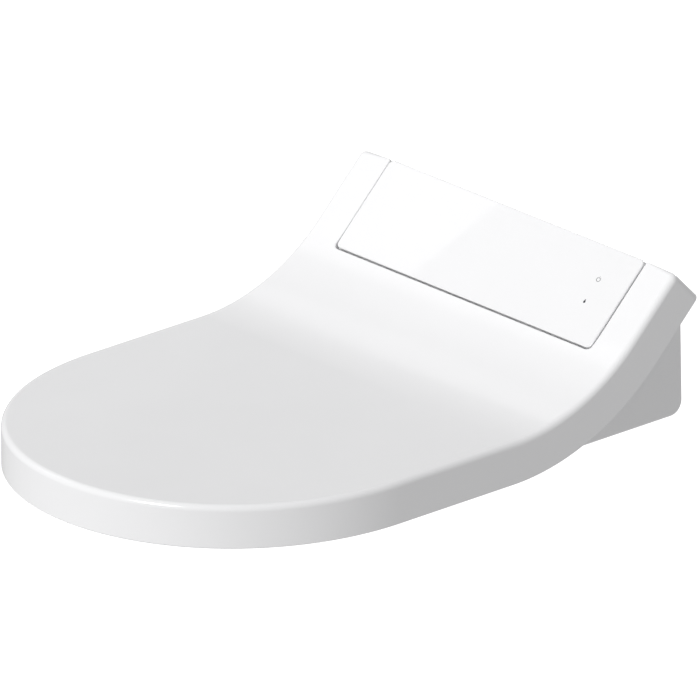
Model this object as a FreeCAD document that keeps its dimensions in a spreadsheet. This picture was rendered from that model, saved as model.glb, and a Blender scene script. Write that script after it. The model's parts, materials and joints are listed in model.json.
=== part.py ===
"""Electric bidet seat: mounting plate, slide-on unit, heated seat ring and lid.

Millimetres. The origin is the centre of the two fixing slots on the ceramic, +Z is up and the
seat's front points along -Y. Every size is a cell of the sheet, and the pieces are bound to it.
"""

import FreeCAD
import Part
import math
import os
import Sketcher
from types import SimpleNamespace

Vector = FreeCAD.Vector

# Driving dimensions, in millimetres and degrees.
SIZES = {
    # lid: a D in plan, flat in front, then an upward sweep and a straight upstand
    "lid_width": 373, "lid_reach": 441, "lid_round": 195, "lid_top": 43, "lid_depth": 36.3,
    "lid_wall": 4, "sweep_start": 125, "sweep_radius": 183, "slope": 44.3, "upstand": 66,
    "lid_edge": 5, "flange_depth": 8, "lid_gap": 1.5, "notch_play": 0.8,
    # panel on the unit's slope
    "panel_length": 84.7, "panel_thick": 3, "panel_proud": 0.8, "panel_corner": 5,
    "gasket_thick": 1, "gasket_width": 4, "board_thick": 1.6,
    # unit casing
    "unit_width": 301.6, "unit_wall": 3, "unit_front": 106, "unit_rear": 91, "unit_rear_top": 88.5,
    "unit_shoulder": 110, "unit_clear": 11, "base_low": 2, "base_thick": 3, "base_play": 0.3,
    # tunnel in the base that slides over the mounting plate
    "plate_width": 200, "plate_length": 64, "plate_thick": 5, "tongue": 6, "tongue_low": 2.5,
    "slot_spacing": 155, "slot_length": 30, "slot_radius": 3.5, "rail_play": 0.5, "rail_wall": 5.5,
    "tunnel_top": 15, "tunnel_front": 48, "unit_travel": 95, "pad_thick": 1,
    # hinge axis, measured up the slope and down from it
    "hinge_along": 50, "hinge_depth": 20, "shaft_radius": 4.5, "run_play": 0.06,
    "hub_radius": 9, "hub_split": 168, "hub_play": 0.6, "bush_radius": 7, "damper_radius": 9.5,
    "damper_length": 50, "arm_inner": 157,
    # heated seat ring
    "ring_play": 2.5, "ring_low": 8, "ring_thick": 22, "ring_wall": 3, "ring_rear": 112,
    "ring_front": 49.5, "ring_side": 72.5, "ring_back": 38, "arm_low": 28, "arm_high": 13,
    "arm_root": 40, "relief_length": 16, "relief_height": 9, "foil_thick": 1, "foot_radius": 8,
    "buffer_radius": 6,
    # wand: tube with a rack on its side, in a frame tilted down to the front
    "wand_tilt": 24, "wand_tip_y": 100, "wand_tip_z": 11.5, "wand_radius": 6.5,
    "wand_bore": 3.2, "wand_length": 148, "wand_travel": 100, "wand_play": 0.3,
    "rack_module": 1, "pinion_along": 30, "motor_radius": 9, "motor_length": 11,
    # water and power connections in the rear wall
    "port_inset": 19.8, "port_height": 32, "inlet_radius": 10.3, "inlet_bore": 6,
    "port_hole": 15, "port_length": 20, "gland_radius": 9, "gland_bore": 3.5,
    "valve_size": 26, "valve_top": 42, "coil_radius": 11, "coil_length": 24, "plunger_radius": 4,
    "sensor_size": 24, "turbine_radius": 7, "hose_radius": 4, "tank_width": 58,
    "tank_length": 70, "tank_height": 32, "tank_wall": 3, "tank_side": 30,
    # release button in the left side wall, night light in the front wall
    "button_length": 22, "button_height": 12, "button_y": 15, "button_z": 25,
    "button_play": 0.4, "light_width": 26, "light_height": 7, "light_low": 12, "light_side": 70,
}
PINION_TEETH = 16

doc = FreeCAD.newDocument("bidet_seat")
sheet = doc.addObject("Spreadsheet::Sheet", "Sizes")
for row, (name, number) in enumerate(SIZES.items(), 1):
    sheet.set(f"A{row}", name)
    sheet.set(f"B{row}", str(number))
    sheet.setAlias(f"B{row}", name)
doc.recompute()


class Size:
    """A length or an angle, as a number and as the expression that a property is bound to."""

    def __init__(self, value, text):
        self.value = value
        self.text = text

    def __add__(self, other):
        other = as_size(other)
        return Size(self.value + other.value, f"({self.text} + {other.text})")

    def __sub__(self, other):
        other = as_size(other)
        return Size(self.value - other.value, f"({self.text} - {other.text})")

    def __mul__(self, other):
        other = as_size(other)
        return Size(self.value * other.value, f"({self.text} * {other.text})")

    def __truediv__(self, other):
        other = as_size(other)
        return Size(self.value / other.value, f"({self.text} / {other.text})")

    def __neg__(self):
        return Size(-self.value, f"(0 - {self.text})")

    def __radd__(self, other):
        return as_size(other) + self

    def __rsub__(self, other):
        return as_size(other) - self

    def __rmul__(self, other):
        return as_size(other) * self


def as_size(number):
    return number if isinstance(number, Size) else Size(float(number), f"({float(number)})")


def sin(angle):
    return Size(math.sin(math.radians(angle.value)), f"sin({angle.text} * 1 deg)")


def cos(angle):
    return Size(math.cos(math.radians(angle.value)), f"cos({angle.text} * 1 deg)")


def root(size):
    return Size(math.sqrt(size.value), f"sqrt({size.text})")


of = SimpleNamespace(**{name: Size(float(sheet.get(name)), f"Sizes.{name}") for name in SIZES})


def place(item, x, y, z, tilt=None):
    """Bind an item's place, and its tilt about X where it has one."""
    if tilt is not None:
        item.Placement = FreeCAD.Placement(Vector(), FreeCAD.Rotation(Vector(1, 0, 0), tilt.value))
        item.setExpression("Placement.Rotation.Angle", f"{tilt.text} * 1 deg")
    for axis, size in zip("xyz", (x, y, z)):
        item.setExpression(f"Placement.Base.{axis}", as_size(size).text)
    return item


def box(x, y, z):
    """A block between two limits on each axis."""
    block = doc.addObject("Part::Box", "block")
    lows = []
    for (low, high), side in zip((x, y, z), ("Length", "Width", "Height")):
        block.setExpression(side, (as_size(high) - low).text)
        lows.append(low)
    return place(block, *lows)


ALONG = {"X": (Vector(0, 1, 0), 90), "Y": (Vector(1, 0, 0), -90), "Z": (Vector(0, 0, 1), 0)}


def rod(x, y, z, radius, length, along="Z"):
    """A cylinder that starts at a point and runs along an axis."""
    bar = doc.addObject("Part::Cylinder", "rod")
    bar.Placement = FreeCAD.Placement(Vector(), FreeCAD.Rotation(*ALONG[along]))
    bar.setExpression("Radius", as_size(radius).text)
    bar.setExpression("Height", as_size(length).text)
    return place(bar, x, y, z)


def fused(*items):
    whole = doc.addObject("Part::MultiFuse", "fused")
    whole.Shapes = list(items)
    return whole


def group(*items):
    """Separate solids that share one node."""
    compound = doc.addObject("Part::Compound", "group")
    compound.Links = list(items)
    return compound


def cut(base, *tools):
    rest = doc.addObject("Part::Cut", "cut")
    rest.Base = base
    rest.Tool = tools[0] if len(tools) == 1 else fused(*tools)
    return rest


def common(base, tool):
    shared = doc.addObject("Part::Common", "common")
    shared.Base = base
    shared.Tool = tool
    return shared


def mirrored_pair(make):
    """The items that make(side) gives on the two sides of the middle plane."""
    return [make(side) for side in (-1, 1)]


class Bend:
    """In an outline: the next stretch is an arc about this centre."""

    def __init__(self, centre, radius):
        self.centre = centre
        self.radius = radius


def flat(point):
    return Vector(as_size(point[0]).value, as_size(point[1]).value, 0)


def fix_point(sketch, edge, end, point):
    """Hold one point of a sketch at bound distances from the origin."""
    for kind, size in zip(("DistanceX", "DistanceY"), point):
        size = as_size(size)
        row = sketch.addConstraint(Sketcher.Constraint(kind, -1, 1, edge, end, size.value))
        sketch.setExpression(f"Constraints[{row}]", size.text)


def draw(sketch, outline):
    """Draw a closed outline of points, with a Bend before the end point of each arc."""
    corners, bends = [], {}
    for item in outline:
        if isinstance(item, Bend):
            bends[len(corners) - 1] = item
        else:
            corners.append(item)
    for start, point in enumerate(corners):
        after = corners[(start + 1) % len(corners)]
        bend = bends.get(start)
        if bend is None:
            edge = sketch.addGeometry(Part.LineSegment(flat(point), flat(after)))
            fix_point(sketch, edge, 1, point)
            fix_point(sketch, edge, 2, after)
            continue
        centre = flat(bend.centre)
        angles = [math.atan2(*(flat(p) - centre)[1::-1]) for p in (point, after)]
        backwards = (angles[1] - angles[0]) % (2 * math.pi) > math.pi
        if backwards:
            angles.reverse()
        if angles[1] < angles[0]:
            angles[1] += 2 * math.pi
        circle = Part.Circle(centre, Vector(0, 0, 1), bend.radius.value)
        edge = sketch.addGeometry(Part.ArcOfCircle(circle, *angles))
        ends = (after, point) if backwards else (point, after)
        fix_point(sketch, edge, 1, ends[0])
        fix_point(sketch, edge, 2, ends[1])
        row = sketch.addConstraint(Sketcher.Constraint("Radius", edge, bend.radius.value))
        sketch.setExpression(f"Constraints[{row}]", bend.radius.text)


def pad(body, plane, outline, low, high):
    """Pad an outline, drawn on an origin plane, from low to high along the plane's normal."""
    origin_plane = next(f for f in body.Origin.OriginFeatures if f.Role == plane)
    sketch = body.newObject("Sketcher::SketchObject", "outline")
    sketch.AttachmentSupport = (origin_plane, [""])
    sketch.MapMode = "FlatFace"
    sketch.setExpression("AttachmentOffset.Base.z", as_size(low).text)
    draw(sketch, outline)
    feature = body.newObject("PartDesign::Pad", "pad")
    feature.Profile = sketch
    feature.setExpression("Length", (as_size(high) - low).text)
    body.Tip = feature
    return feature


def prism(plane, outline, low, high):
    body = doc.addObject("PartDesign::Body", "body")
    pad(body, plane, outline, low, high)
    return body


def side_prism(outline, half):
    """A prism of a side view, drawn as (y, z), as wide to the left as to the right."""
    return prism("YZ_Plane", outline, -as_size(half), half)


def rounded_plate(width, length, radius, low, high):
    """A plate with round corners: x about 0, y from 0 to length, z from low to high."""
    half = width / 2
    turn = radius
    outline = [
        (turn - half, 0), (half - turn, 0), Bend((half - turn, turn), turn),
        (half, turn), (half, length - turn), Bend((half - turn, length - turn), turn),
        (half - turn, length), (turn - half, length), Bend((turn - half, length - turn), turn),
        (-half, length - turn), (-half, turn), Bend((turn - half, turn), turn),
    ]
    return prism("XY_Plane", outline, low, high)


def oval(centre_y, half_width, half_length, low, high):
    """An upright elliptical block."""
    wide = half_width.value > half_length.value
    curve = doc.addObject("Part::Ellipse", "oval")
    turn = 0 if wide else 90
    curve.Placement = FreeCAD.Placement(Vector(), FreeCAD.Rotation(Vector(0, 0, 1), turn))
    curve.setExpression("MajorRadius", (half_width if wide else half_length).text)
    curve.setExpression("MinorRadius", (half_length if wide else half_width).text)
    place(curve, 0, centre_y, low)
    block = doc.addObject("Part::Extrusion", "oval_block")
    block.Base = curve
    block.Solid = True
    block.DirMode = "Custom"
    block.Dir = Vector(0, 0, 1)
    block.setExpression("LengthFwd", (as_size(high) - low).text)
    return block


nodes = {}


def node(name, item):
    """Give a finished piece the name that its file takes."""
    item.Label = name
    nodes[name] = item
    return item


# ---------------------------------------------------------------- shared lines and points

up_y, up_z = cos(of.slope), sin(of.slope)
sweep_centre = (-of.sweep_start, of.lid_top + of.sweep_radius)
lid_half = of.lid_width / 2
round_centre = of.lid_round - of.lid_reach
unit_half = of.unit_width / 2
notch_half = unit_half + of.notch_play


def on_sweep_end(depth):
    """Where the sweep meets the upstand, at a depth below the lid's skin."""
    reach = of.sweep_radius + depth
    return (sweep_centre[0] + reach * up_z, sweep_centre[1] - reach * up_y)


def up_slope(along, out):
    """A point from the panel's lower edge: a distance up the slope, and one out of it."""
    foot = on_sweep_end(as_size(0))
    rise = of.upstand - of.panel_length + along
    return (foot[0] + rise * up_y - out * up_z, foot[1] + rise * up_z + out * up_y)


hinge = up_slope(of.hinge_along, -of.hinge_depth)
notch_radius = of.lid_gap + root(
    of.hinge_along * of.hinge_along
    + (of.hinge_depth + of.panel_proud) * (of.hinge_depth + of.panel_proud)
)


def on_slope(name, item):
    """Stand a piece, made with y up the slope and z out of it, on the unit's slope."""
    foot = up_slope(as_size(0), as_size(0))
    return node(name, place(group(item), 0, foot[0], foot[1], of.slope))


def on_wand(name, item):
    """Stand a piece, made along y from the wand's tip, on the wand's tilted line."""
    return node(name, place(group(item), 0, -of.wand_tip_y, of.wand_tip_z, of.wand_tilt))


def band(skin, depth, front, end):
    """The side view between two depths below the lid's skin, from the front to the upstand."""
    skin, depth = as_size(skin), as_size(depth)
    top, bottom = on_sweep_end(skin), on_sweep_end(depth)
    return [
        (-front, of.lid_top - depth), (-front, of.lid_top - skin),
        (-of.sweep_start, of.lid_top - skin), Bend(sweep_centre, of.sweep_radius + skin),
        top, (top[0] + end * up_y, top[1] + end * up_z),
        (bottom[0] + end * up_y, bottom[1] + end * up_z), bottom,
        Bend(sweep_centre, of.sweep_radius + depth), (-of.sweep_start, of.lid_top - depth),
    ]


def plan(inset, low, high, rear):
    """The lid's D in plan, drawn in by an inset, as an upright block."""
    half = lid_half - inset
    nose = oval(round_centre, half, of.lid_round - inset, low, high)
    return fused(nose, box((-half, half), (round_centre, rear), (low, high)))


# ---------------------------------------------------------------- lid

far_up = of.lid_top + of.sweep_radius
FLANGE_REACH = 40


def under_skin(point):
    """How far a point lies below the surface that the lid's skin follows."""
    across, up = point.y - sweep_centre[0].value, sweep_centre[1].value - point.z
    if across < 0:
        return up - of.sweep_radius.value
    lean = math.radians(of.slope.value)
    if math.atan2(across, up) < lean:
        return math.hypot(across, up) - of.sweep_radius.value
    return across * math.sin(lean) + up * math.cos(lean) - of.sweep_radius.value


def round_rim(blank):
    """Round the edge where the lid's skin turns down into its skirt."""
    doc.recompute()
    rims = []
    for number, edge in enumerate(blank.Shape.Edges, 1):
        ends = [edge.valueAt(at) for at in (edge.FirstParameter, edge.LastParameter)]
        middle = edge.valueAt((edge.FirstParameter + edge.LastParameter) / 2)
        level = all(abs(under_skin(point)) < 0.05 for point in (*ends, middle))
        if level and abs(ends[0].x - ends[1].x) < of.lid_width.value - 0.1:
            rims.append((number, of.lid_edge.value, of.lid_edge.value))
    rounded = doc.addObject("Part::Fillet", "rounded")
    rounded.Base = blank
    rounded.Edges = rims
    return rounded


def hollow_lid():
    """Skin and skirt, with a flange round the notch that the unit's panel fills."""
    skin = side_prism(band(0, of.lid_depth, of.lid_reach + 1, of.upstand), lid_half)
    blank = round_rim(common(skin, plan(as_size(0), as_size(0), far_up, of.unit_rear)))
    inner_end = of.upstand - of.lid_wall
    deep = of.lid_depth + of.lid_wall
    flange_front = of.sweep_start + FLANGE_REACH
    core = side_prism(band(of.lid_wall, deep, of.lid_reach, inner_end), lid_half - of.lid_wall)
    hollow = common(core, plan(of.lid_wall, -deep, far_up, of.unit_rear))
    shell = cut(blank, hollow)
    flange = common(
        side_prism(band(0, of.flange_depth, flange_front, of.upstand), notch_half + of.lid_wall),
        rod(-lid_half, *hinge, notch_radius + of.lid_wall, of.lid_width, "X"),
    )
    return shell, flange


def lid_hub(side):
    start = of.hub_split + of.hub_play
    length = lid_half - of.lid_wall / 2 - start
    x = start if side > 0 else -(start + length)
    return rod(x, *hinge, of.hub_radius, length, "X")


SHAFT_END_PLAY = 1


def shaft_bore(side, radius):
    """A bore about the hinge axis, from the middle to short of the lid's skirt."""
    reach = lid_half - of.lid_wall - SHAFT_END_PLAY
    return rod(as_size(0) if side > 0 else -reach, *hinge, radius, reach, "X")


lid_shell, lid_flange = hollow_lid()
notch = rod(-notch_half, *hinge, notch_radius, notch_half * 2, "X")
lid_body = fused(lid_shell, lid_flange, *mirrored_pair(lid_hub))
node("lid", cut(
    lid_body, notch,
    shaft_bore(-1, of.shaft_radius), shaft_bore(1, of.shaft_radius + of.run_play),
))

# ---------------------------------------------------------------- seat ring and bowl opening

ring_half = lid_half - of.lid_wall - of.ring_play
ring_round = of.lid_round - of.lid_wall - of.ring_play
ring_nose = of.lid_reach - of.lid_wall - of.ring_play
ring_top = of.ring_low + of.ring_thick
bowl_half = ring_half - of.ring_side
bowl_reach = (ring_nose - of.ring_front - of.ring_rear - of.ring_back) / 2
bowl_centre = of.ring_rear + of.ring_back + bowl_reach


def ring_block(inset, low, high):
    """The ring, drawn in from its outer and inner rims by an inset."""
    half = ring_half - inset
    rear = -of.ring_rear - inset
    nose = fused(
        oval(round_centre, half, ring_round - inset, low, high),
        box((-half, half), (round_centre, rear), (low, high)),
    )
    body = common(nose, box((-half, half), (-of.lid_reach, rear), (low, high)))
    bowl = oval(-bowl_centre, bowl_half + inset, bowl_reach + inset, low - 1, as_size(high) + 1)
    return cut(body, bowl)


wand_room = of.wand_radius * 2


def wand_relief():
    """Room for the wand under the ring's rear bar."""
    return box((-wand_room, wand_room), (-of.ring_rear - of.relief_length, -of.ring_rear + 1),
               (of.ring_low - 1, of.ring_low + of.relief_height))


def relief_roof():
    """The wall over the wand's room."""
    room = wand_room + of.ring_wall
    return box((-room, room), (-of.ring_rear - of.relief_length - of.ring_wall, -of.ring_rear),
               (of.ring_low, of.ring_low + of.relief_height + of.ring_wall))


def ring_arm(side):
    """The arm under the lid's side that carries the ring on the hinge axis."""
    low, high = (of.arm_inner, of.hub_split)
    if side < 0:
        low, high = -high, -low
    front = of.ring_rear + of.arm_root
    end = of.upstand - of.panel_length + of.hinge_along
    return prism("YZ_Plane", band(of.arm_high, of.arm_low, front, end), low, high)


def ring_hub(side):
    start = notch_half
    length = of.hub_split - start
    return rod(start if side > 0 else -of.hub_split, *hinge, of.hub_radius, length, "X")


upper = cut(
    ring_block(as_size(0), of.ring_low, ring_top),
    ring_block(of.ring_wall, of.ring_low - 1, ring_top - of.ring_wall),
)
node("seat_ring", cut(
    fused(upper, relief_roof(), *mirrored_pair(ring_arm), *mirrored_pair(ring_hub)),
    wand_relief(),
    shaft_bore(-1, of.shaft_radius + of.run_play), shaft_bore(1, of.shaft_radius),
))
floor_high = of.ring_low + of.ring_wall
BASE_FIT = 0.2


INNER_PLAY = 1


def arm_room(side):
    """Clearance in the seat's inner pieces for the arm's root."""
    low, high = (of.arm_inner - INNER_PLAY, of.hub_split + INNER_PLAY)
    if side < 0:
        low, high = -high, -low
    front = -of.ring_rear - of.arm_root - INNER_PLAY * 2
    return box((low, high), (front, -of.ring_rear), (floor_high, ring_top))


def roof_room():
    """Clearance in the seat's inner pieces for the wall over the wand's room."""
    room = wand_room + of.ring_wall + INNER_PLAY
    front = -of.ring_rear - of.relief_length - of.ring_wall - INNER_PLAY
    return box((-room, room), (front, -of.ring_rear), (of.ring_low - 1, ring_top))


node("seat_base", cut(
    ring_block(of.ring_wall + BASE_FIT, of.ring_low, floor_high),
    roof_room(), *mirrored_pair(arm_room),
))
foil_high = ring_top - of.ring_wall
foil_low = foil_high - of.foil_thick
node("seat_heater_foil", cut(
    ring_block(of.ring_wall * 4, foil_low, foil_high), roof_room(), *mirrored_pair(arm_room),
))
SENSOR_OUT, SENSOR_WIDE, SENSOR_LONG, SENSOR_TALL = 20, 14, 24, 5
sensor_side = bowl_half + SENSOR_OUT
node("seat_sensor", box(
    (sensor_side, sensor_side + SENSOR_WIDE),
    (-bowl_centre - SENSOR_LONG / 2, -bowl_centre + SENSOR_LONG / 2),
    (foil_low - SENSOR_TALL, foil_low),
))
# Each pair of feet or buffers: outwards from the bowl's side, and along it as a share of its reach.
FOOT_PLACES = ((18, -0.468), (34, 0.723))
BUFFER_PLACES = ((35, -0.511), (35, 0.766))


def round_pads(places, radius, low, high):
    return group(*[
        rod(side * (bowl_half + out), bowl_reach * share - bowl_centre, low, radius, high - low)
        for side in (-1, 1) for out, share in places
    ])


LIFT_PLAY = 0.3
node("seat_feet", round_pads(FOOT_PLACES, of.foot_radius, as_size(0), of.ring_low))
node("lid_buffers", round_pads(
    BUFFER_PLACES, of.buffer_radius, ring_top + LIFT_PLAY, of.lid_top - of.lid_wall))

# ---------------------------------------------------------------- hinge shafts, bushes, dampers

inner_half = unit_half - of.unit_wall
BUSH_LIP = 0.3
DAMPER_END = 8
SHAFT_CLEAR = 2
shaft_end = lid_half - of.lid_wall - SHAFT_END_PLAY * 2
shaft_start = inner_half - of.damper_length + DAMPER_END + SHAFT_CLEAR
shaft_length = shaft_end - shaft_start
node("lid_hinge_shaft", rod(-shaft_end, *hinge, of.shaft_radius, shaft_length, "X"))
node("seat_hinge_shaft", rod(shaft_start, *hinge, of.shaft_radius, shaft_length, "X"))


def bush(side):
    length = of.unit_wall + BUSH_LIP
    x = inner_half if side > 0 else -(unit_half + BUSH_LIP)
    sleeve = rod(x, *hinge, of.bush_radius, length, "X")
    return cut(sleeve, rod(x - 1, *hinge, of.shaft_radius + of.run_play, length + 2, "X"))


def damper(side):
    """A soft-close damper: a closed barrel that takes the shaft's inner end."""
    x = inner_half - of.damper_length if side > 0 else -inner_half
    barrel = rod(x, *hinge, of.damper_radius, of.damper_length, "X")
    bore = of.damper_length - DAMPER_END
    mouth = inner_half - bore if side > 0 else -inner_half - 1
    return cut(barrel, rod(mouth, *hinge, of.shaft_radius + of.run_play, bore + 1, "X"))


node("hinge_bushes", group(*mirrored_pair(bush)))
node("lid_damper", damper(-1))
node("seat_damper", damper(1))

# ---------------------------------------------------------------- unit casing

slope_low = -of.gasket_thick - of.panel_thick + of.panel_proud


def distance(one, other):
    across, up = one[0] - other[0], one[1] - other[1]
    return root(across * across + up * up)


def casing_side(inset, bottom):
    """The casing's side view: rear wall, shoulder, slope, then the fall under the lid."""
    inset = as_size(inset)
    step = up_slope(inset, -(of.unit_clear + inset))
    reach = distance(step, sweep_centre)
    front = of.sweep_start - of.unit_front + inset
    return [
        (of.unit_rear - inset, bottom), (of.unit_rear_top - inset, of.unit_shoulder - inset / 2),
        up_slope(of.panel_length - inset, slope_low - inset), up_slope(inset, slope_low - inset),
        step, Bend(sweep_centre, reach),
        (inset - of.unit_front, sweep_centre[1] - root(reach * reach - front * front)),
        (inset - of.unit_front, bottom),
    ]


tunnel_half = of.plate_width / 2 + of.tongue + of.rail_play + of.rail_wall
tunnel_wall = tunnel_half + of.base_thick
base_high = of.base_low + of.base_thick
deck = of.tunnel_top
port_side = inner_half - of.port_inset
WALL_CUT = 12


def port_hole(side):
    """The round bay in the rear wall for a connection."""
    return rod(side * port_side, of.unit_rear - WALL_CUT, of.port_height,
               of.port_hole if side < 0 else of.gland_radius, WALL_CUT + 8, "Y")


button_high = of.button_z + of.button_height / 2
button_rear = of.button_y + of.button_length / 2
button_hole = box(
    (-unit_half - 1, -inner_half + 1),
    (of.button_y - of.button_length / 2 - of.button_play, button_rear + of.button_play),
    (of.button_z - of.button_height / 2 - of.button_play, button_high + of.button_play),
)
light_x = (of.light_side - of.light_width / 2, of.light_side + of.light_width / 2)
light_high = of.light_low + of.light_height
front_cut = (-of.unit_front - 1, -of.unit_front + of.unit_wall + 1)
light_hole = box(light_x, front_cut, (of.light_low, light_high))
wand_mouth = box((-wand_room, wand_room), front_cut, (-1, of.wand_tip_z + of.wand_radius))
TUNNEL_FIT = 0.2
tunnel_mouth = box((-tunnel_wall - TUNNEL_FIT, tunnel_wall + TUNNEL_FIT),
                   (of.unit_rear - WALL_CUT, of.unit_rear + 1), (-1, deck + TUNNEL_FIT))


BOSS_RADIUS, BOSS_TOP, BOSS_SUNK = 4, 22, 0.5
BOSS_FRONT, BOSS_REAR = 20, 16
SCREW_RADIUS, SCREW_GRIP = 1.5, 6


def boss_places():
    """Where the base is screwed to the casing: one boss near each corner."""
    side = inner_half - BOSS_RADIUS + BOSS_SUNK
    ends = (-of.unit_front + BOSS_FRONT, of.unit_rear - BOSS_REAR)
    return [(x, y) for x in (-side, side) for y in ends]


bosses = [
    rod(x, y, base_high, BOSS_RADIUS, BOSS_TOP - base_high) for x, y in boss_places()
]
screw_tip = BOSS_TOP - SCREW_GRIP
boss_bores = [rod(x, y, base_high - 1, SCREW_RADIUS, screw_tip - base_high + 1)
              for x, y in boss_places()]
hollow = cut(side_prism(casing_side(0, 0), unit_half),
             side_prism(casing_side(of.unit_wall, -1), inner_half))
node("housing_cover", cut(
    fused(hollow, *bosses), *boss_bores,
    rod(-unit_half - 1, *hinge, of.bush_radius, unit_half * 2 + 2, "X"),
    port_hole(-1), port_hole(1), button_hole, light_hole, wand_mouth, tunnel_mouth,
))


RAIL_LIFT = 0.3
JOIN = 0.5


def rail(side):
    """A rail with a lip that hooks under the mounting plate's tongue."""
    outer = tunnel_half + JOIN
    inner = of.plate_width / 2 + of.tongue + of.rail_play
    lip = of.plate_width / 2 + of.rail_play
    span = (-of.tunnel_front, of.unit_rear - of.unit_wall)
    ranges = ((inner, outer), (lip, inner + JOIN))
    heights = ((RAIL_LIFT, deck - 1), (RAIL_LIFT, of.tongue_low - RAIL_LIFT))
    return fused(*[
        box((low, high) if side > 0 else (-high, -low), span, height)
        for (low, high), height in zip(ranges, heights)
    ])


# Circuit boards: plan limits, height of the posts over the deck, and their screws' edge distance.
MAIN_SPAN, MAIN_DEPTH, MAIN_LIFT = (-95, -25), (-40, 22), 5
POWER_WIDTH, POWER_DEPTH, POWER_LIFT, SIDE_GAP = 30.8, (-40, 58), 2, 2
SCREW_EDGE, POST_RADIUS = 5, 3
power_span = (inner_half - SIDE_GAP - POWER_WIDTH, inner_half - SIDE_GAP)
main_low, power_low = deck + MAIN_LIFT, deck + POWER_LIFT


def board_corners(span, depth):
    """Where a board is screwed down, near its four corners."""
    return [(x, y) for x in (span[0] + SCREW_EDGE, span[1] - SCREW_EDGE)
            for y in (depth[0] + SCREW_EDGE, depth[1] - SCREW_EDGE)]


def board_posts(span, depth, top):
    low = base_high - JOIN
    return [rod(x, y, low, POST_RADIUS, top - low) for x, y in board_corners(span, depth)]


posts = board_posts(MAIN_SPAN, MAIN_DEPTH, main_low) + board_posts(power_span, POWER_DEPTH, power_low)
port_y = of.unit_rear - of.port_length
valve_low = (-port_side - of.valve_size / 2, -port_side + of.valve_size / 2)
valve_depth = (port_y - of.valve_size, port_y)
valve_seat = box(valve_low, valve_depth, (base_high - JOIN, deck))
floor_span = (-of.unit_front + of.unit_wall + of.base_play,
              of.unit_rear - of.unit_wall - of.base_play)
tray = box((-inner_half + of.base_play, inner_half - of.base_play), floor_span,
           (of.base_low, base_high))
tunnel = box((-tunnel_wall, tunnel_wall), (-of.tunnel_front - of.base_thick, of.unit_rear - 1),
             (of.base_low, deck))
tunnel_room = box((-tunnel_half, tunnel_half), (-of.tunnel_front, of.unit_rear + 1),
                  (-1, deck - of.base_thick))
NOTCH_DEPTH = 14
wand_notch = box((-wand_room, wand_room), (-of.unit_front, -of.unit_front + NOTCH_DEPTH),
                 (0, base_high + 1))
screw_holes = [rod(x, y, 0, SCREW_RADIUS, base_high + 1) for x, y in boss_places()]
shell_base = cut(fused(tray, tunnel, valve_seat, *posts), tunnel_room, wand_notch, *screw_holes)
node("housing_base", fused(shell_base, *mirrored_pair(rail)))
HEAD_LOW, HEAD_RADIUS, HEAD_JOIN = 0.4, 3, 0.2
node("housing_screws", group(*[
    fused(rod(x, y, HEAD_LOW, HEAD_RADIUS, of.base_low - HEAD_LOW),
          rod(x, y, of.base_low - HEAD_JOIN, SCREW_RADIUS, screw_tip - of.base_low))
    for x, y in boss_places()
]))
# The rubber pads stand in the strips of base beside the tunnel.
side_bay = inner_half - tunnel_wall
PAD_PLACE, PAD_HALF, PAD_LONG, PAD_Y = 0.427, 0.244, 12, (-60, 40)
pad_middle = inner_half - side_bay * PAD_PLACE
pad_half = side_bay * PAD_HALF
node("base_pads", group(*[
    box((side * pad_middle - pad_half, side * pad_middle + pad_half),
        (y - PAD_LONG / 2, y + PAD_LONG / 2), (0, of.base_low))
    for side in (-1, 1) for y in PAD_Y
]))

# ---------------------------------------------------------------- mounting plate

plate_half = of.plate_width / 2
plate_span = (-of.plate_length / 2, of.plate_length / 2)
tongues = box((-plate_half - of.tongue, plate_half + of.tongue), plate_span,
              (of.tongue_low, of.plate_thick))


def slot(side):
    """A slotted hole for a fixing bolt, along X."""
    middle = side * of.slot_spacing / 2
    run = of.slot_length / 2 - of.slot_radius
    straight = box((middle - run, middle + run), (-of.slot_radius, of.slot_radius),
                   (-1, of.plate_thick + 1))
    ends = [rod(middle + end * run, 0, -1, of.slot_radius, of.plate_thick + 2) for end in (-1, 1)]
    return fused(straight, *ends)


STRIP_HALF, STRIP_WIDE, STRIP_EDGE, STRIP_FIT = 60, 10, 5, 0.1


def grip_places(play):
    """The rubber strips under the plate, in front of and behind the slots."""
    half, wide = STRIP_HALF + play, STRIP_WIDE / 2 + play
    middle = of.plate_length / 2 - STRIP_EDGE - STRIP_WIDE / 2
    return [box((-half, half), (side * middle - wide, side * middle + wide), (-play, of.pad_thick))
            for side in (-1, 1)]


node("mounting_plate", cut(
    fused(box((-plate_half, plate_half), plate_span, (0, of.plate_thick)), tongues),
    *mirrored_pair(slot), *grip_places(STRIP_FIT),
))
node("plate_grip_strips", group(*grip_places(0)))

# ---------------------------------------------------------------- control panel

PANEL_PLAY, GASKET_EDGE = 0.2, 3
panel_half = unit_half - PANEL_PLAY
panel_low = of.panel_proud - of.panel_thick
on_slope("control_panel", rounded_plate(
    panel_half * 2, of.panel_length, of.panel_corner, panel_low, of.panel_proud))
gasket_low = panel_low - of.gasket_thick


def gasket_frame(inset, low, high):
    half = panel_half - inset
    return box((-half, half), (inset, of.panel_length - inset), (low, high))


on_slope("panel_gasket", cut(
    gasket_frame(as_size(GASKET_EDGE), gasket_low, panel_low),
    gasket_frame(GASKET_EDGE + of.gasket_width, gasket_low - 1, panel_low + 1),
))
# The touch board and its chip, as (from, to) across and up the slope behind the panel.
TOUCH_X, TOUCH_Y, CHIP_X, CHIP_Y, CHIP_TALL = (10.6, 90.6), (18, 72), (66.6, 80.6), (24, 34), 1.2
touch_top = slope_low - of.unit_wall
touch_low = touch_top - of.board_thick


def from_side(span):
    """Limits across, from a span measured in from the panel's right-hand end."""
    return (panel_half - span[1], panel_half - span[0])


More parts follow.
